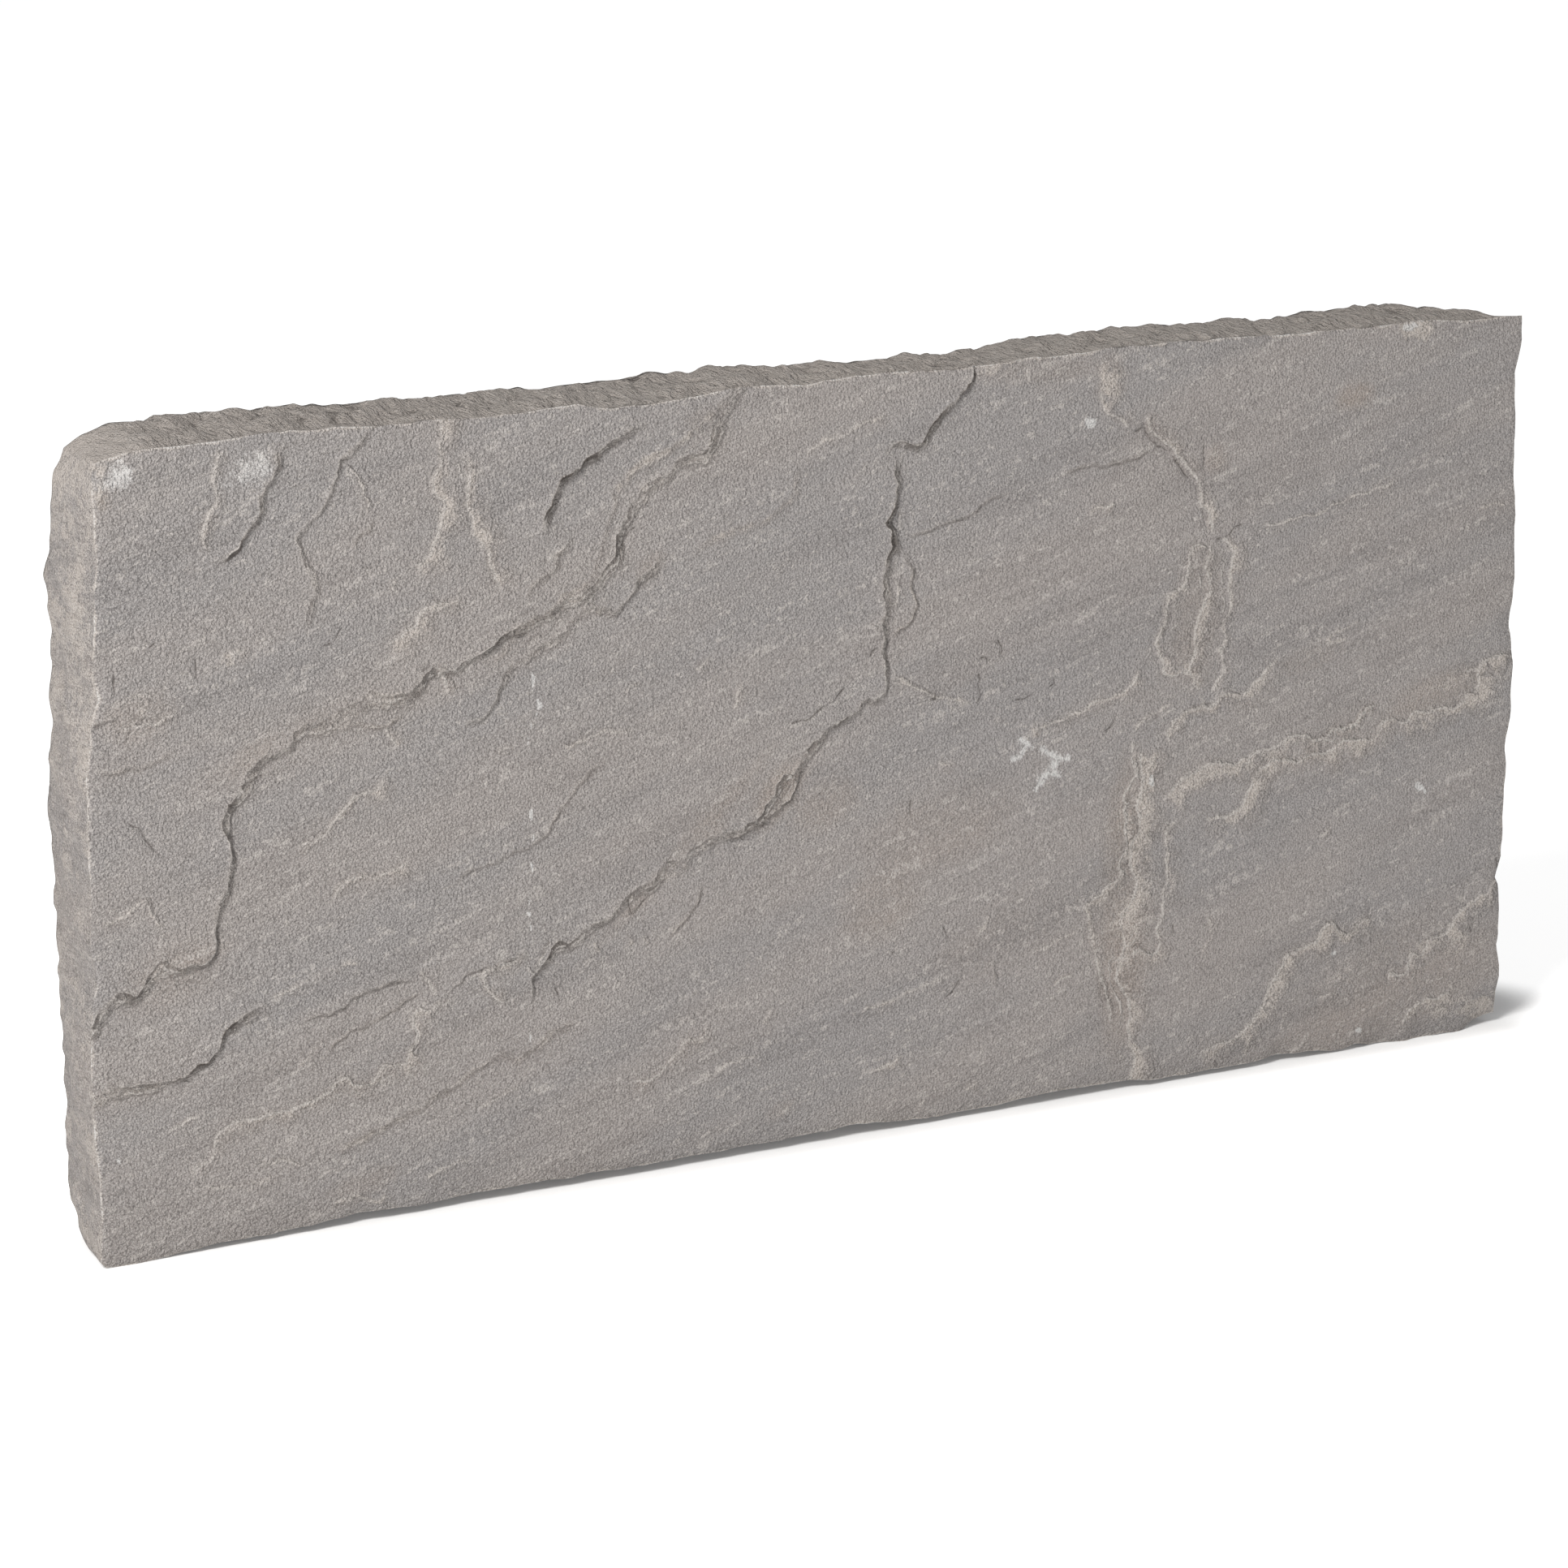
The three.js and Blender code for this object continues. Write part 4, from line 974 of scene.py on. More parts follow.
def ledge_rows(ledge, kind, crispness, seed, step):
    """Points above and below every step of a ledge."""
    _, scarp, _, line = ledge
    length = line_length(line)
    distances = np.arange(0, length, step)
    crisp = crispness_along(crispness, distances, length, seed)
    places, _ = ledge_steps(scarp, kind, distances, crisp, seed)
    offsets = [place + side for place in places for side in (0.4, -0.4)]
    offsets += [places[0] + max(1.3, kind["lead"] * scarp), places[-1] - 1.3]
    return rows_beside(line, distances, offsets)


def crack_rows(line):
    distances = np.arange(0, line_length(line) + 0.3, 0.6)
    return rows_beside(line, distances, (0, 0.55, -0.55, 1.1, -1.1))


def mark_points():
    """Fine patches of points under every white mark and along every white vein."""
    patches = []
    for half_width, line in WHITE_VEINS:
        distances = np.arange(0, line_length(line), MARK_GRID)
        patches += rows_beside(line, distances, (0, half_width, -half_width))
    for x, z, half_height, half_width in WHITE_MARKS:
        across = np.arange(-half_width - 0.8, half_width + 0.9, MARK_GRID)
        up = np.arange(-half_height - 0.8, half_height + 0.9, MARK_GRID)
        u, v = np.meshgrid(across, up)
        patches.append(np.stack([x + u.ravel(), z + v.ravel()], 1))
    return patches


def grid_points(spacing, seed):
    """Points all over a face in staggered rows, each shaken out of its place a little."""
    columns = int(HALF_LENGTH / spacing) + 1
    rows = int(STONE_HEIGHT / (spacing * ROW_PITCH)) + 1
    i, j = np.meshgrid(np.arange(-columns, columns + 1), np.arange(rows + 1))
    i, j = i.ravel(), j.ravel()
    x = (i + (j % 2) / 2 + GRID_SHAKE * lattice_value(i, j, seed)) * spacing
    z = (j + GRID_SHAKE * lattice_value(i, j, seed + 1)) * spacing * ROW_PITCH
    return np.stack([x, z], 1)


class Sieve:
    """Keeps points clear of one another, with a hash of square cells."""

    def __init__(self, cell):
        self.cell = cell
        self.cells = {}
        self.kept = []

    def offer(self, points, spacing):
        reach = int(math.ceil(spacing / self.cell))
        limit = spacing * spacing
        for x, z in points.tolist():
            ci, cj = int(x // self.cell), int(z // self.cell)
            if not self.crowded(x, z, ci, cj, reach, limit):
                self.cells.setdefault((ci, cj), []).append((x, z))
                self.kept.append((x, z))

    def crowded(self, x, z, ci, cj, reach, limit):
        for i in range(ci - reach, ci + reach + 1):
            for j in range(cj - reach, cj + reach + 1):
                for px, pz in self.cells.get((i, j), ()):
                    if (px - x) ** 2 + (pz - z) ** 2 < limit:
                        return True
        return False


def face_plan(outline, out, fine_rows, grid, seed):
    """Points of one face in its plane, the outline first, and its triangles."""
    sieve = Sieve(1.0)
    sieve.offer(outline, 0)
    inner = outline - out * 0.3
    for inset in INSETS:
        ring = outline - out * inset
        sieve.offer(ring[is_inside(ring, inner)], CLOSEST_POINTS)
    for row in fine_rows:
        sieve.offer(row[is_inside(row, inner)], CLOSEST_POINTS)
    base = grid_points(grid, seed)
    sieve.offer(base[is_inside(base, inner)], grid * 0.6)
    plan = np.array(sieve.kept)
    return plan, triangulate(plan, len(outline))


def triangulate(plan, outline_count):
    """Triangles inside the outline that turn anticlockwise."""
    ring = list(range(outline_count))
    edges = [(k, (k + 1) % outline_count) for k in ring]
    vertices = [Vector(point) for point in plan.tolist()]
    places, _, faces, origins, *_ = geometry.delaunay_2d_cdt(vertices, edges, [ring], 1, 1e-6, True)
    if len(places) != len(plan):
        raise ValueError("two points of a face coincide")
    number = np.array([origin[0] for origin in origins])
    triangles = number[np.array(faces)]
    on_rim = np.flatnonzero((triangles < outline_count).all(1))
    beyond = on_rim[~is_inside(plan[triangles[on_rim]].mean(1), plan[:outline_count])]
    triangles = np.delete(triangles, beyond, axis=0)
    a, b, c = plan[triangles[:, 0]], plan[triangles[:, 1]], plan[triangles[:, 2]]
    turn = (b[:, 0] - a[:, 0]) * (c[:, 1] - a[:, 1]) - (b[:, 1] - a[:, 1]) * (c[:, 0] - a[:, 0])
    triangles[turn < 0] = triangles[turn < 0][:, ::-1]
    return triangles


# --- Pieces of the surface ------------------------------------------------------------------------


def edge_distance(plan, outline):
    """Distance of each point of a face from its outline, up to the widest that matters."""
    distance = np.full(len(plan), WIDEST_EDGE)
    low, high = outline.min(0) + WIDEST_EDGE, outline.max(0) - WIDEST_EDGE
    near = np.flatnonzero((plan < low).any(1) | (plan > high).any(1))
    for part in np.array_split(near, 12):
        offset = plan[part][:, None, :] - outline[None, :, :]
        distance[part] = np.sqrt((offset**2).sum(2).min(1))
    distance[: len(outline)] = 0
    return distance


def make_face(outline, out, fine_rows, grid, seed, marks_of):
    """Vertices, triangles and marks of one riven face; y is measured outward from mid thickness."""
    plan, triangles = face_plan(outline, out, fine_rows, grid, seed)
    marks = marks_of(plan)
    distance = edge_distance(plan, outline)
    worn = np.exp(-distance / ARRIS_WIDTH)
    chip = 0.75 + 0.5 * noise(plan[:, 0] / 6, plan[:, 1] / 6, 61)
    depth = HALF_THICKNESS + marks.pop("rise") - ARRIS_WEAR * worn * chip
    # A pale and white line along each edge: worn stone with a painted highlight.
    strengthen(marks, "pale", 1.1 * np.exp(-distance / 0.7) * chip)
    strengthen(marks, "white", 0.8 * np.exp(-distance / 0.55) * chip)
    vertices = np.stack([plan[:, 0], np.clip(depth, 0, FACE_LIMIT), plan[:, 1]], 1)
    return vertices, triangles, marks


def rim_shift(stations, across):
    """Outward shift of the narrow sides at one depth behind the front edge."""
    shift = np.zeros(len(stations["along"]))
    share = across / (2 * HALF_THICKNESS)
    arch = math.sin(math.pi * share)
    edge = min(1, 3.2 * min(share, 1 - share) ** 0.5)
    for side, shape in SIDE_SHAPE.items():
        here = stations["side"] == side
        along = stations["along"][here]
        depth = np.full(len(along), float(across))
        corner = ramp(stations["from_corner"][here], *CALM_CORNER)
        scallop = noise(along / HOLLOW_LENGTH, depth / HOLLOW_WIDTH + 0.4, shape["seed"])
        shift[here] = arch * (shape["bulge"] * (0.4 + 0.6 * corner) + shape["hollow"] * scallop)
        shift[here] += edge * shape["flake"] * corner * rim_relief(along, depth, shape["seed"])
    return shift


def rim_relief(along, depth, seed):
    """Dressed stone: broken facets crossed by ragged hackles that run from face to face."""
    lean, swing, wavelength, number = HACKLE_STRAY
    strayed = along + lean * depth + swing * noise(along / wavelength, depth / wavelength, seed + number)
    relief = np.zeros_like(along)
    for place, layer in ((along, FACETS), (strayed, RIDGES), (strayed, HACKLES)):
        height, sharpness, length, width, number = layer
        relief += height * np.tanh(sharpness * noise(place / length, depth / width, seed + number))
    height, length, width, number = CRUMBS
    return relief + height * noise(along / length, depth / width, seed + number)


def make_rim(stations, front, back, first_inner, first_back):
    """The narrow sides, as rows of vertices between the two outlines, and their triangles."""
    count = len(front)
    vertices = []
    for across in RIM_ROWS[1:-1]:
        share = across / RIM_ROWS[-1]
        row = front * (1 - share) + back * share
        shift = rim_shift(stations, across)[:, None] * stations["out"]
        row[:, 0] = np.clip(row[:, 0] + shift[:, 0], -HALF_LENGTH, HALF_LENGTH)
        row[:, 2] = np.maximum(row[:, 2] + shift[:, 1], 0)
        vertices.append(row)
    first = [0] + [first_inner + k * count for k in range(len(vertices))] + [first_back]
    here = np.arange(count)
    ahead = (here + 1) % count
    triangles = []
    for near, far in zip(first, first[1:]):
        triangles.append(np.stack([near + here, far + ahead, near + ahead], 1))
        triangles.append(np.stack([near + here, far + here, far + ahead], 1))
    return np.concatenate(vertices), np.concatenate(triangles)


def rim_marks(stations, count):
    """The narrow sides: painted shade in the hollows, pale ridges of bruised stone with a painted
    highlight, and a pale line of worn stone and painted highlight along each edge.
    """
    marks = empty_marks(count)
    marks.pop("rise")
    rows = RIM_ROWS[1:-1]
    across = np.repeat(rows, len(stations["along"]))
    along = np.tile(stations["along"], len(rows))
    side = np.tile(stations["side"], len(rows))
    worn = 1 - ramp(np.tile(stations["from_corner"], len(rows)), 4, 20)
    relief = np.zeros(count)
    rough = np.zeros(count)
    for name, shape in SIDE_SHAPE.items():
        here = side == name
        relief[here] = rim_relief(along[here], across[here], shape["seed"])
        rough[here] = shape["rough"]
        marks["pale"][here] = shape["pale"]
    rough *= 1 - 0.7 * worn
    from_edge = np.minimum(across, RIM_ROWS[-1] - across)
    chip = 0.75 + 0.5 * noise(along / 6, across / 6, 62)
    marks["pale"] += 0.2 * worn
    # Paler on the ridges and in a line along each edge: bruised and worn stone with a painted highlight.
    marks["pale"] += 0.5 * rough * ramp(relief, -0.3, 1.2)
    strengthen(marks, "pale", np.exp(-from_edge / 0.6) * chip)
    # Painted shade in the hollows of the dressed stone.
    marks["dark"] = 0.9 * rough * ramp(-relief, 0.6, 1.5)
    marks["rough"] = 0.6 * rough
    marks["stain"] = np.full(count, 0.25)
    marks["rim"] = rough * ramp(from_edge, 0, 1.2)
    return marks


def fine_rows(ledges, step):
    return [row for ledge in ledges for row in ledge_rows(*ledge, step)]


def make_stone_mesh():
    stations = make_stations()
    out = stations["out"]
    front_rows = fine_rows(front_ledges(), FRONT_LEDGE_STEP)
    front_rows += [row for line in CRACKS for row in crack_rows(line)] + mark_points()
    back_rows = fine_rows(back_ledges(), BACK_LEDGE_STEP)
    front, front_faces, front_paint = make_face(
        stations["front"], out, front_rows, FRONT_GRID, FRONT_GRID_SEED, front_marks
    )
    back, back_faces, back_paint = make_face(
        stations["back"], out, back_rows, BACK_GRID, BACK_GRID_SEED, back_marks
    )
    front[:, 1] *= -1
    count = len(out)
    first_back = len(front)
    first_inner = first_back + len(back)
    rim, rim_faces = make_rim(stations, front[:count], back[:count], first_inner, first_back)
    vertices = np.concatenate([front, back, rim])
    triangles = np.concatenate([front_faces, back_faces[:, ::-1] + first_back, rim_faces])
    parts = (front_paint, back_paint, rim_marks(stations, len(rim)))
    paint = {name: np.concatenate([part[name] for part in parts]) for name in front_paint}
    for name in CLIPPED_MARKS:
        paint[name] = np.clip(paint[name], 0, 1)
    return vertices, triangles, paint


def make_stone(material, low, high):
    vertices, triangles, paint = make_stone_mesh()
    vertices = np.clip(vertices * MM, np.array(low), np.array(high))
    mesh = bpy.data.meshes.new("riven_stone")
    mesh.from_pydata(vertices.tolist(), [], triangles.tolist())
    mesh.shade_smooth()
    mesh.set_sharp_from_angle(angle=math.radians(SHARP_ANGLE))
    for name, values in paint.items():
        layer = mesh.attributes.new(name, "FLOAT", "POINT")
        layer.data.foreach_set("value", values.astype(np.float32))
    mesh.materials.append(material)
    return add_object("riven_stone", mesh)


def add_object(name, data):
    made = bpy.data.objects.new(name, data)
    bpy.context.scene.collection.objects.link(made)
    return made


# --- Materials ------------------------------------------------------------------------------------


def colour(red, green, blue):
    return (red, green, blue, 1.0)


WHITE = colour(1, 1, 1)
BODY_COOL = colour(0.232, 0.2185, 0.2145)
BODY_WARM = colour(0.258, 0.236, 0.225)
STAIN_TINT = colour(1.0, 0.93, 0.86)
BAND_SHADE = colour(0.72, 0.71, 0.71)
# Pale stone serves bruises and worn edges, and painted highlights on lit ledges, lip crests, ridges and
# edges.
PALE_STONE = colour(0.385, 0.347, 0.316)
FLECK_AND_HIGHLIGHT = colour(0.40, 0.372, 0.35)
LIGHT_GRAIN = colour(0.40, 0.38, 0.365)
DARK_GRAIN = colour(0.12, 0.109, 0.102)
WHITE_MINERAL_AND_HIGHLIGHT = colour(0.50, 0.492, 0.483)
# The colour of painted shade in crevices, cracks and hollows.
CREVICE_SHADE = colour(0.075, 0.064, 0.058)
FLOOR_WHITE = colour(0.9, 0.9, 0.9)
LAMINA = 0.3  # thickness of one thin layer, in millimetres of relief

SAND_GRAINS = 1800  # grains to the metre, as the other even noises below: scale, detail and roughness
EVEN_NOISES = {
    "pits": (1250, 1.0, 0.5),
    "fine": (1100, 1.0, 0.5),
    "coarse": (420, 2.0, 0.55),
    "patch": (110, 2.0, 0.5),
}
# Noises drawn out along the bedding: tilt in degrees, the lengths in metres of one feature along the
# stone, through it and up, then detail and roughness.
LONG_NOISES = {
    "cloud": (BEDDING_TILT, (0.11, 0.05, 0.026), 3.0, 0.5),
    "streaks": (BEDDING_TILT, (0.028, 0.02, 0.0036), 3.0, 0.6),
    "bands": (13, (0.06, 0.03, 0.0075), 3.0, 0.6),
    "bedding": (3, (0.03, 0.0016, 0.03), 2.0, 0.6),
    "hackles": (0, (0.0018, 0.01, 0.0018), 4.0, 0.68),
}


class Shader:
    """Adds and links the nodes of one material or world."""

    def __init__(self, tree):
        self.tree = tree
        tree.nodes.clear()

    def node(self, kind, settings=None, inputs=None):
        made = self.tree.nodes.new(kind)
        for name, value in (settings or {}).items():
            setattr(made, name, value)
        for name, value in (inputs or {}).items():
            self.feed(made.inputs[name], value)
        return made

    def feed(self, socket, value):
        if isinstance(value, bpy.types.NodeSocket):
            self.tree.links.new(value, socket)
        else:
            socket.default_value = value

    def math(self, operation, a, b=0.0, c=0.0):
        return self.node("ShaderNodeMath", {"operation": operation}, {0: a, 1: b, 2: c}).outputs[0]

    def times(self, first, *others):
        for other in others:
            first = self.math("MULTIPLY", first, other)
        return first

    def vector(self, operation, a, b=(0, 0, 0), output=0):
        return self.node("ShaderNodeVectorMath", {"operation": operation}, {0: a, 1: b}).outputs[output]

    def spread(self, value, low, high, start=0.0, end=1.0):
        """Start where the value is low and end where it is high, smooth between."""
        inputs = {"Value": value, "From Min": low, "From Max": high, "To Min": start, "To Max": end}
        return self.node("ShaderNodeMapRange", {"interpolation_type": "SMOOTHSTEP"}, inputs).outputs[0]

    def noise(self, vector, scale, detail, roughness):
        inputs = {"Vector": vector, "Scale": scale, "Detail": detail, "Roughness": roughness}
        return self.node("ShaderNodeTexNoise", {}, inputs).outputs[0]

    def stretched(self, place, tilt, lengths):
        """Coordinates in which a feature of the given lengths in metres is one unit across."""
        inputs = {"Vector": place, "Rotation": (0, math.radians(-tilt), 0), "Scale": lengths}
        return self.node("ShaderNodeMapping", {"vector_type": "TEXTURE"}, inputs).outputs[0]

    def blend(self, factor, a, b, mode="MIX"):
        settings = {"data_type": "RGBA", "blend_type": mode, "clamp_factor": True}
        return self.node("ShaderNodeMix", settings, {0: factor, 6: a, 7: b}).outputs[2]

    def attribute(self, name):
        return self.node("ShaderNodeAttribute", {"attribute_name": name}).outputs["Fac"]

    def object_place(self):
        return self.node("ShaderNodeTexCoord").outputs["Object"]

    def wobble(self, value, *terms):
        """Adds noise to a value: each term is a noise from 0 to 1 and the reach of its swing."""
        for noise_value, reach in terms:
            swing = self.times(self.math("SUBTRACT", noise_value, 0.5), 2 * reach)
            value = self.math("ADD", value, swing)
        return value


def colour_layers(shader, fields):
    """Strength, tint and mixing of every layer over the grey body, from the lowest up."""
    spread, times, attribute, wobble = shader.spread, shader.times, shader.attribute, shader.wobble
    grain, grit, hackles = fields["grain"], fields["grit"], fields["hackles"]
    fine, coarse, patch = fields["fine"], fields["coarse"], fields["patch"]
    crumbs = spread(coarse, 0.48, 0.58)
    pale = wobble(attribute("pale"), (patch, 0.4), (coarse, 0.4), (grain, 0.1))
    white = wobble(attribute("white"), (coarse, 0.5), (fine, 0.25), (grain, 0.1))
    dark = wobble(attribute("dark"), (coarse, 0.4), (grain, 0.2))
    bands = spread(fields["bands"], 0.5, 0.66, 0, 0.35)
    stain = times(attribute("stain"), spread(coarse, 0.2, 0.6, 0.45, 1.0))
    return (
        (bands, BAND_SHADE, "MULTIPLY"),
        (stain, STAIN_TINT, "MULTIPLY"),
        (times(spread(fields["streaks"], 0.53, 0.65, 0, 0.55), crumbs), FLECK_AND_HIGHLIGHT, "MIX"),
        (times(spread(fields["sheet"], 0.22, 0.05, 0, 0.7), crumbs), FLECK_AND_HIGHLIGHT, "MIX"),
        # Pale stone: bruises and worn edges, with painted highlights on lit ledges, crests, ridges and
        # edges.
        (spread(pale, 0.35, 0.75, 0, 0.85), PALE_STONE, "MIX"),
        # Painted highlight and bruised stone along the crest of each lip.
        (crest(shader, fields), FLECK_AND_HIGHLIGHT, "MIX"),
        (times(attribute("rough"), spread(fine, 0.52, 0.68), 0.5), FLECK_AND_HIGHLIGHT, "MIX"),
        (times(spread(grain, 0.55, 0.95, 0, 0.35), grit), LIGHT_GRAIN, "MIX"),
        (times(spread(grain, 0.45, 0.05, 0, 0.35), grit), DARK_GRAIN, "MIX"),
        (spread(white, 0.35, 1.0, 0, 0.75), WHITE_MINERAL_AND_HIGHLIGHT, "MIX"),
        # Painted shade in cracks and in the hollows of the narrow sides.
        (spread(dark, 0.5, 0.85, 0, 0.7), CREVICE_SHADE, "MIX"),
        # Painted shade in the furrows between hackles on the narrow sides, and painted highlight on their
        # ridges.
        (times(attribute("rim"), spread(hackles, 0.43, 0.33, 0, 0.45)), CREVICE_SHADE, "MIX"),
        (times(attribute("rim"), spread(hackles, 0.54, 0.64, 0, 0.55)), FLECK_AND_HIGHLIGHT, "MIX"),
        # Painted shadow under the lips of ledges.
        (crevice(shader, fields), CREVICE_SHADE, "MIX"),
    )


def sandstone_colour(shader, fields):
    """Grey body with bedding flecks, sand grains, stains, bruises and mineral, painted highlights on lips,
    ridges and edges, and painted shade in crevices, cracks and hollows.
    """
    body = shader.blend(shader.spread(fields["cloud"], 0.36, 0.64), BODY_COOL, BODY_WARM)
    for strength, tint, mode in colour_layers(shader, fields):
        body = shader.blend(strength, body, tint, mode)
    return body


def ragged_edge(shader, fields):
    """Distance from the nearest ledge, with the crumbling of its lip."""
    return shader.wobble(shader.attribute("edge"), (fields["coarse"], 0.55), (fields["fine"], 0.3))


def crevice(shader, fields):
    """Broken dark line of painted shadow just under a lip, wider where the lip is sheer."""
    depth = shader.attribute("crevice")
    away = shader.math("ABSOLUTE", shader.math("ADD", ragged_edge(shader, fields), 0.3))
    line = shader.spread(shader.math("MULTIPLY_ADD", depth, -0.85, away), 0.05, 0.35, 1.0, 0.0)
    broken = shader.spread(fields["patch"], 0.38, 0.55, 0.25, 1.0)
    return shader.times(line, broken, depth)


def crest(shader, fields):
    """Broken pale line along the top of every lip: bruised stone, and a painted highlight where the lip
    catches the light.
    """
    away = shader.math("ABSOLUTE", shader.math("SUBTRACT", ragged_edge(shader, fields), 0.35))
    line = shader.spread(away, 0.25, 0.6, 1.0, 0.0)
    height = shader.math("MULTIPLY_ADD", shader.attribute("crevice"), -0.6, shader.attribute("step"))
    broken = shader.spread(fields["patch"], 0.3, 0.55, 0.4, 1.0)
    return shader.times(line, broken, shader.spread(height, 0.0, 0.45, 0.0, 0.9))


def lip_step(shader, fields):
    """Height of the crisp broken edge along every ledge."""
    edge = ragged_edge(shader, fields)
    step = shader.spread(edge, -0.3, 0.3, -0.5, 0.5)
    close = shader.spread(shader.math("ABSOLUTE", edge), 0.3, 2.2, 1.0, 0.0)
    return shader.times(step, close, shader.attribute("step"))


def sheet_level(shader, fields):
    """Place from 0 to 1 in the thin sheet that shows at each point: 0 is its broken edge."""
    layer = shader.math("DIVIDE", shader.attribute("layer"), LAMINA)
    level = shader.wobble(layer, (fields["streaks"], 2.2), (fields["patch"], 0.6), (fields["coarse"], 0.35))
    return shader.math("FRACT", level)


def sandstone_height(shader, fields):
    """Fine relief in millimetres, from thin layers and hackles down to single sand grains."""
    times, rough = shader.times, shader.attribute("rough")
    broken = shader.spread(rough, 0, 1, 0.1, 1.0)
    flaky = shader.spread(rough, 0, 0.6, 0.7, 1.0)
    sheets = shader.math("SUBTRACT", shader.spread(fields["sheet"], 0.0, 0.16), fields["sheet"])
    height = times(fields["pits"], fields["grit"], 1.1)
    for field, reach in (
        (fields["bedding"], 0.3),
        (fields["streaks"], 0.9),
        (times(sheets, flaky), LAMINA),
        (times(fields["coarse"], broken), 0.9),
        (times(fields["fine"], broken), 0.6),
        (times(fields["hackles"], shader.attribute("rim")), 4.0),
        (lip_step(shader, fields), 0.8),
    ):
        height = shader.math("MULTIPLY_ADD", field, reach, height)
    return height


def sandstone_fields(shader):
    """Every noise that the colour and the fine relief share, from 0 to 1."""
    place = shader.object_place()
    along = shader.node("ShaderNodeSeparateXYZ", {}, {"Vector": place}).outputs["X"]
    grains = shader.node("ShaderNodeTexVoronoi", {}, {"Vector": place, "Scale": SAND_GRAINS})
    fields = {name: shader.noise(place, *values) for name, values in EVEN_NOISES.items()}
    for name, (tilt, lengths, detail, roughness) in LONG_NOISES.items():
        fields[name] = shader.noise(shader.stretched(place, tilt, lengths), 1, detail, roughness)
    # Grain and pits show more strongly towards the left end and less towards the right.
    fields["grit"] = shader.spread(along, -0.25, 0.1, 1.12, 0.85)
    fields["grain"] = shader.spread(grains.outputs["Distance"], 0.85, 0.2)
    fields["sheet"] = sheet_level(shader, fields)
    return fields


def make_material(name, surface_inputs):
    """A matt material; the function returns the inputs of its surface, made with its shader."""
    material = bpy.data.materials.new(name)
    material.use_nodes = True
    shader = Shader(material.node_tree)
    surface = shader.node("ShaderNodeBsdfPrincipled", {}, surface_inputs(shader))
    shader.node("ShaderNodeOutputMaterial", {}, {"Surface": surface.outputs[0]})
    return material


def sandstone_surface(shader):
    fields = sandstone_fields(shader)
    bump = shader.node("ShaderNodeBump", {}, {"Distance": MM, "Height": sandstone_height(shader, fields)})
    base = sandstone_colour(shader, fields)
    return {"Base Color": base, "Roughness": 0.93, "Specular IOR Level": 0.25, "Normal": bump.outputs[0]}


def floor_surface(shader):
    """White floor that lights itself, but less so close beside the stone and behind its right end: a
    painted shadow.
    """
    place = shader.object_place()
    gap = shader.vector("SUBTRACT", shader.vector("ABSOLUTE", place), FOOTPRINT)
    beside = shader.vector("LENGTH", shader.vector("MAXIMUM", gap), output="Value")
    beyond = shader.vector("DISTANCE", place, SHADED_END, "Value")
    glow_with_painted_shadow = shader.times(shader.spread(beside, 0, 0.02, 0.1, 0.6), shader.spread(beyond, 0.01, 0.035))
    return {
        "Base Color": FLOOR_WHITE, "Roughness": 0.8, "Specular IOR Level": 0.1,
        "Emission Color": WHITE, "Emission Strength": glow_with_painted_shadow,
    }


# --- Studio ---------------------------------------------------------------------------------------

FLOOR_HALF = 6.0
# The floor's glow is weaker round the stone's footprint and behind its right end, as a painted shadow.
FOOTPRINT = (0.25, 0.018, 0)  # half sizes of the standing stone
SHADED_END = (0.258, 0.008, 0)  # the floor behind the right end, out of the key light
WORLD_STRENGTH = 0.43
KEY_LIGHT = {
    "place": (-1.3, -0.87, 1.3),
    "target": (0, 0, 0.1),
    "size": 0.57,
    "power": 38.5,
    "tint": (1.0, 0.985, 0.965),
}
CAMERA_PLACE = (-0.8, -1.3775, 0.497)
CAMERA_TURN = (90 - 13.66, 0.0, -29.67)  # degrees
SLAB_TILT = 0.0033  # radians, how far the photographed stone leans along its length
SLAB_SHIFT = (0.0007, 0, 0.00035)
LENS = 121.12
SENSOR = 36.0


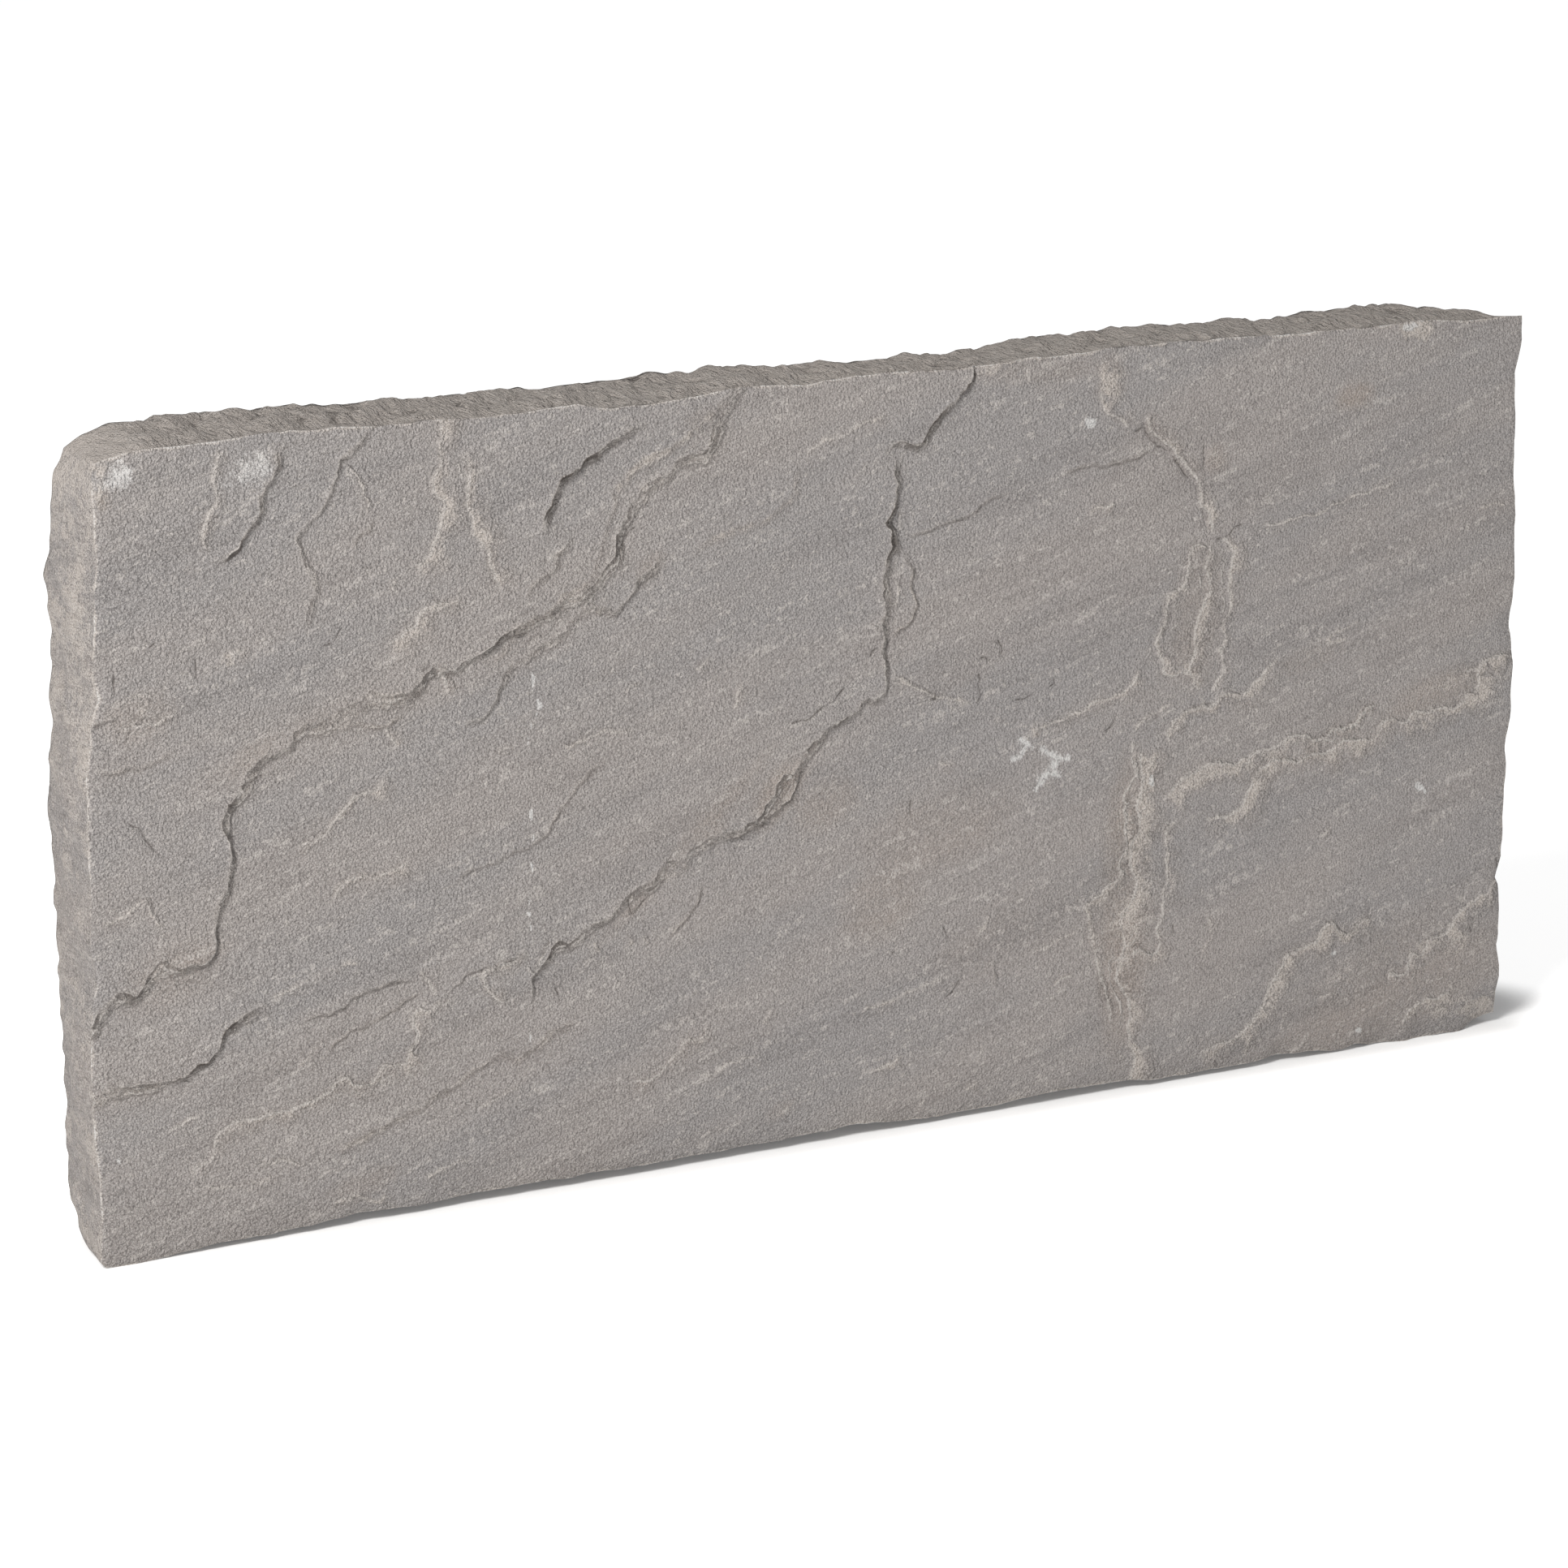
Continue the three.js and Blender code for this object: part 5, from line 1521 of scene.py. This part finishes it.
def make_camera():
    data = bpy.data.cameras.new("camera")
    data.lens = LENS
    data.sensor_width = SENSOR
    camera = add_object("camera", data)
    turn = Euler([math.radians(angle) for angle in CAMERA_TURN]).to_matrix().to_4x4()
    lean = Matrix.Translation(SLAB_SHIFT) @ Matrix.Rotation(SLAB_TILT, 4, "Y")
    camera.matrix_world = lean @ Matrix.Translation(CAMERA_PLACE) @ turn
    bpy.context.scene.camera = camera


def make_light(name, place, target, size, power, tint):
    data = bpy.data.lights.new(name, "AREA")
    data.shape = "DISK"
    data.size = size
    data.energy = power
    data.color = tint
    light = add_object(name, data)
    light.location = place
    light.rotation_euler = (Vector(place) - Vector(target)).to_track_quat("Z", "Y").to_euler()


def make_world():
    """Soft even light, seen as a plain white background."""
    world = bpy.data.worlds.new("studio")
    world.use_nodes = True
    shader = Shader(world.node_tree)
    seen = shader.node("ShaderNodeLightPath").outputs["Is Camera Ray"]
    power = shader.spread(seen, 0, 1, WORLD_STRENGTH, 1.0)
    light = shader.node("ShaderNodeBackground", {}, {"Color": WHITE, "Strength": power})
    shader.node("ShaderNodeOutputWorld", {}, {"Surface": light.outputs[0]})
    bpy.context.scene.world = world


def make_floor():
    mesh = bpy.data.meshes.new("floor")
    square = [(x * FLOOR_HALF, y * FLOOR_HALF, 0) for x, y in ((-1, -1), (1, -1), (1, 1), (-1, 1))]
    mesh.from_pydata(square, [], [(0, 1, 2, 3)])
    mesh.materials.append(make_material("studio_white", floor_surface))
    floor = add_object("floor", mesh)


def make_studio():
    make_camera()
    make_floor()
    make_world()
    make_light("key", **KEY_LIGHT)
    bpy.context.scene.view_settings.view_transform = "Standard"


# --- Everything together --------------------------------------------------------------------------


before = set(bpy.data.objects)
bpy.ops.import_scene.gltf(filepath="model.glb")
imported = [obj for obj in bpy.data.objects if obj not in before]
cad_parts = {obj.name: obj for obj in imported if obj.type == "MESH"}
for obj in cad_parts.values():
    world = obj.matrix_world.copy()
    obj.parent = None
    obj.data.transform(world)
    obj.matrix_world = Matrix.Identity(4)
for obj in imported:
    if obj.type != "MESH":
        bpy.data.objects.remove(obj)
cad_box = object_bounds()
make_studio()
stone_piece = make_stone(make_material("sandstone", sandstone_surface), *cad_box)
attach(stone_piece, "root")
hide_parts(NODE)
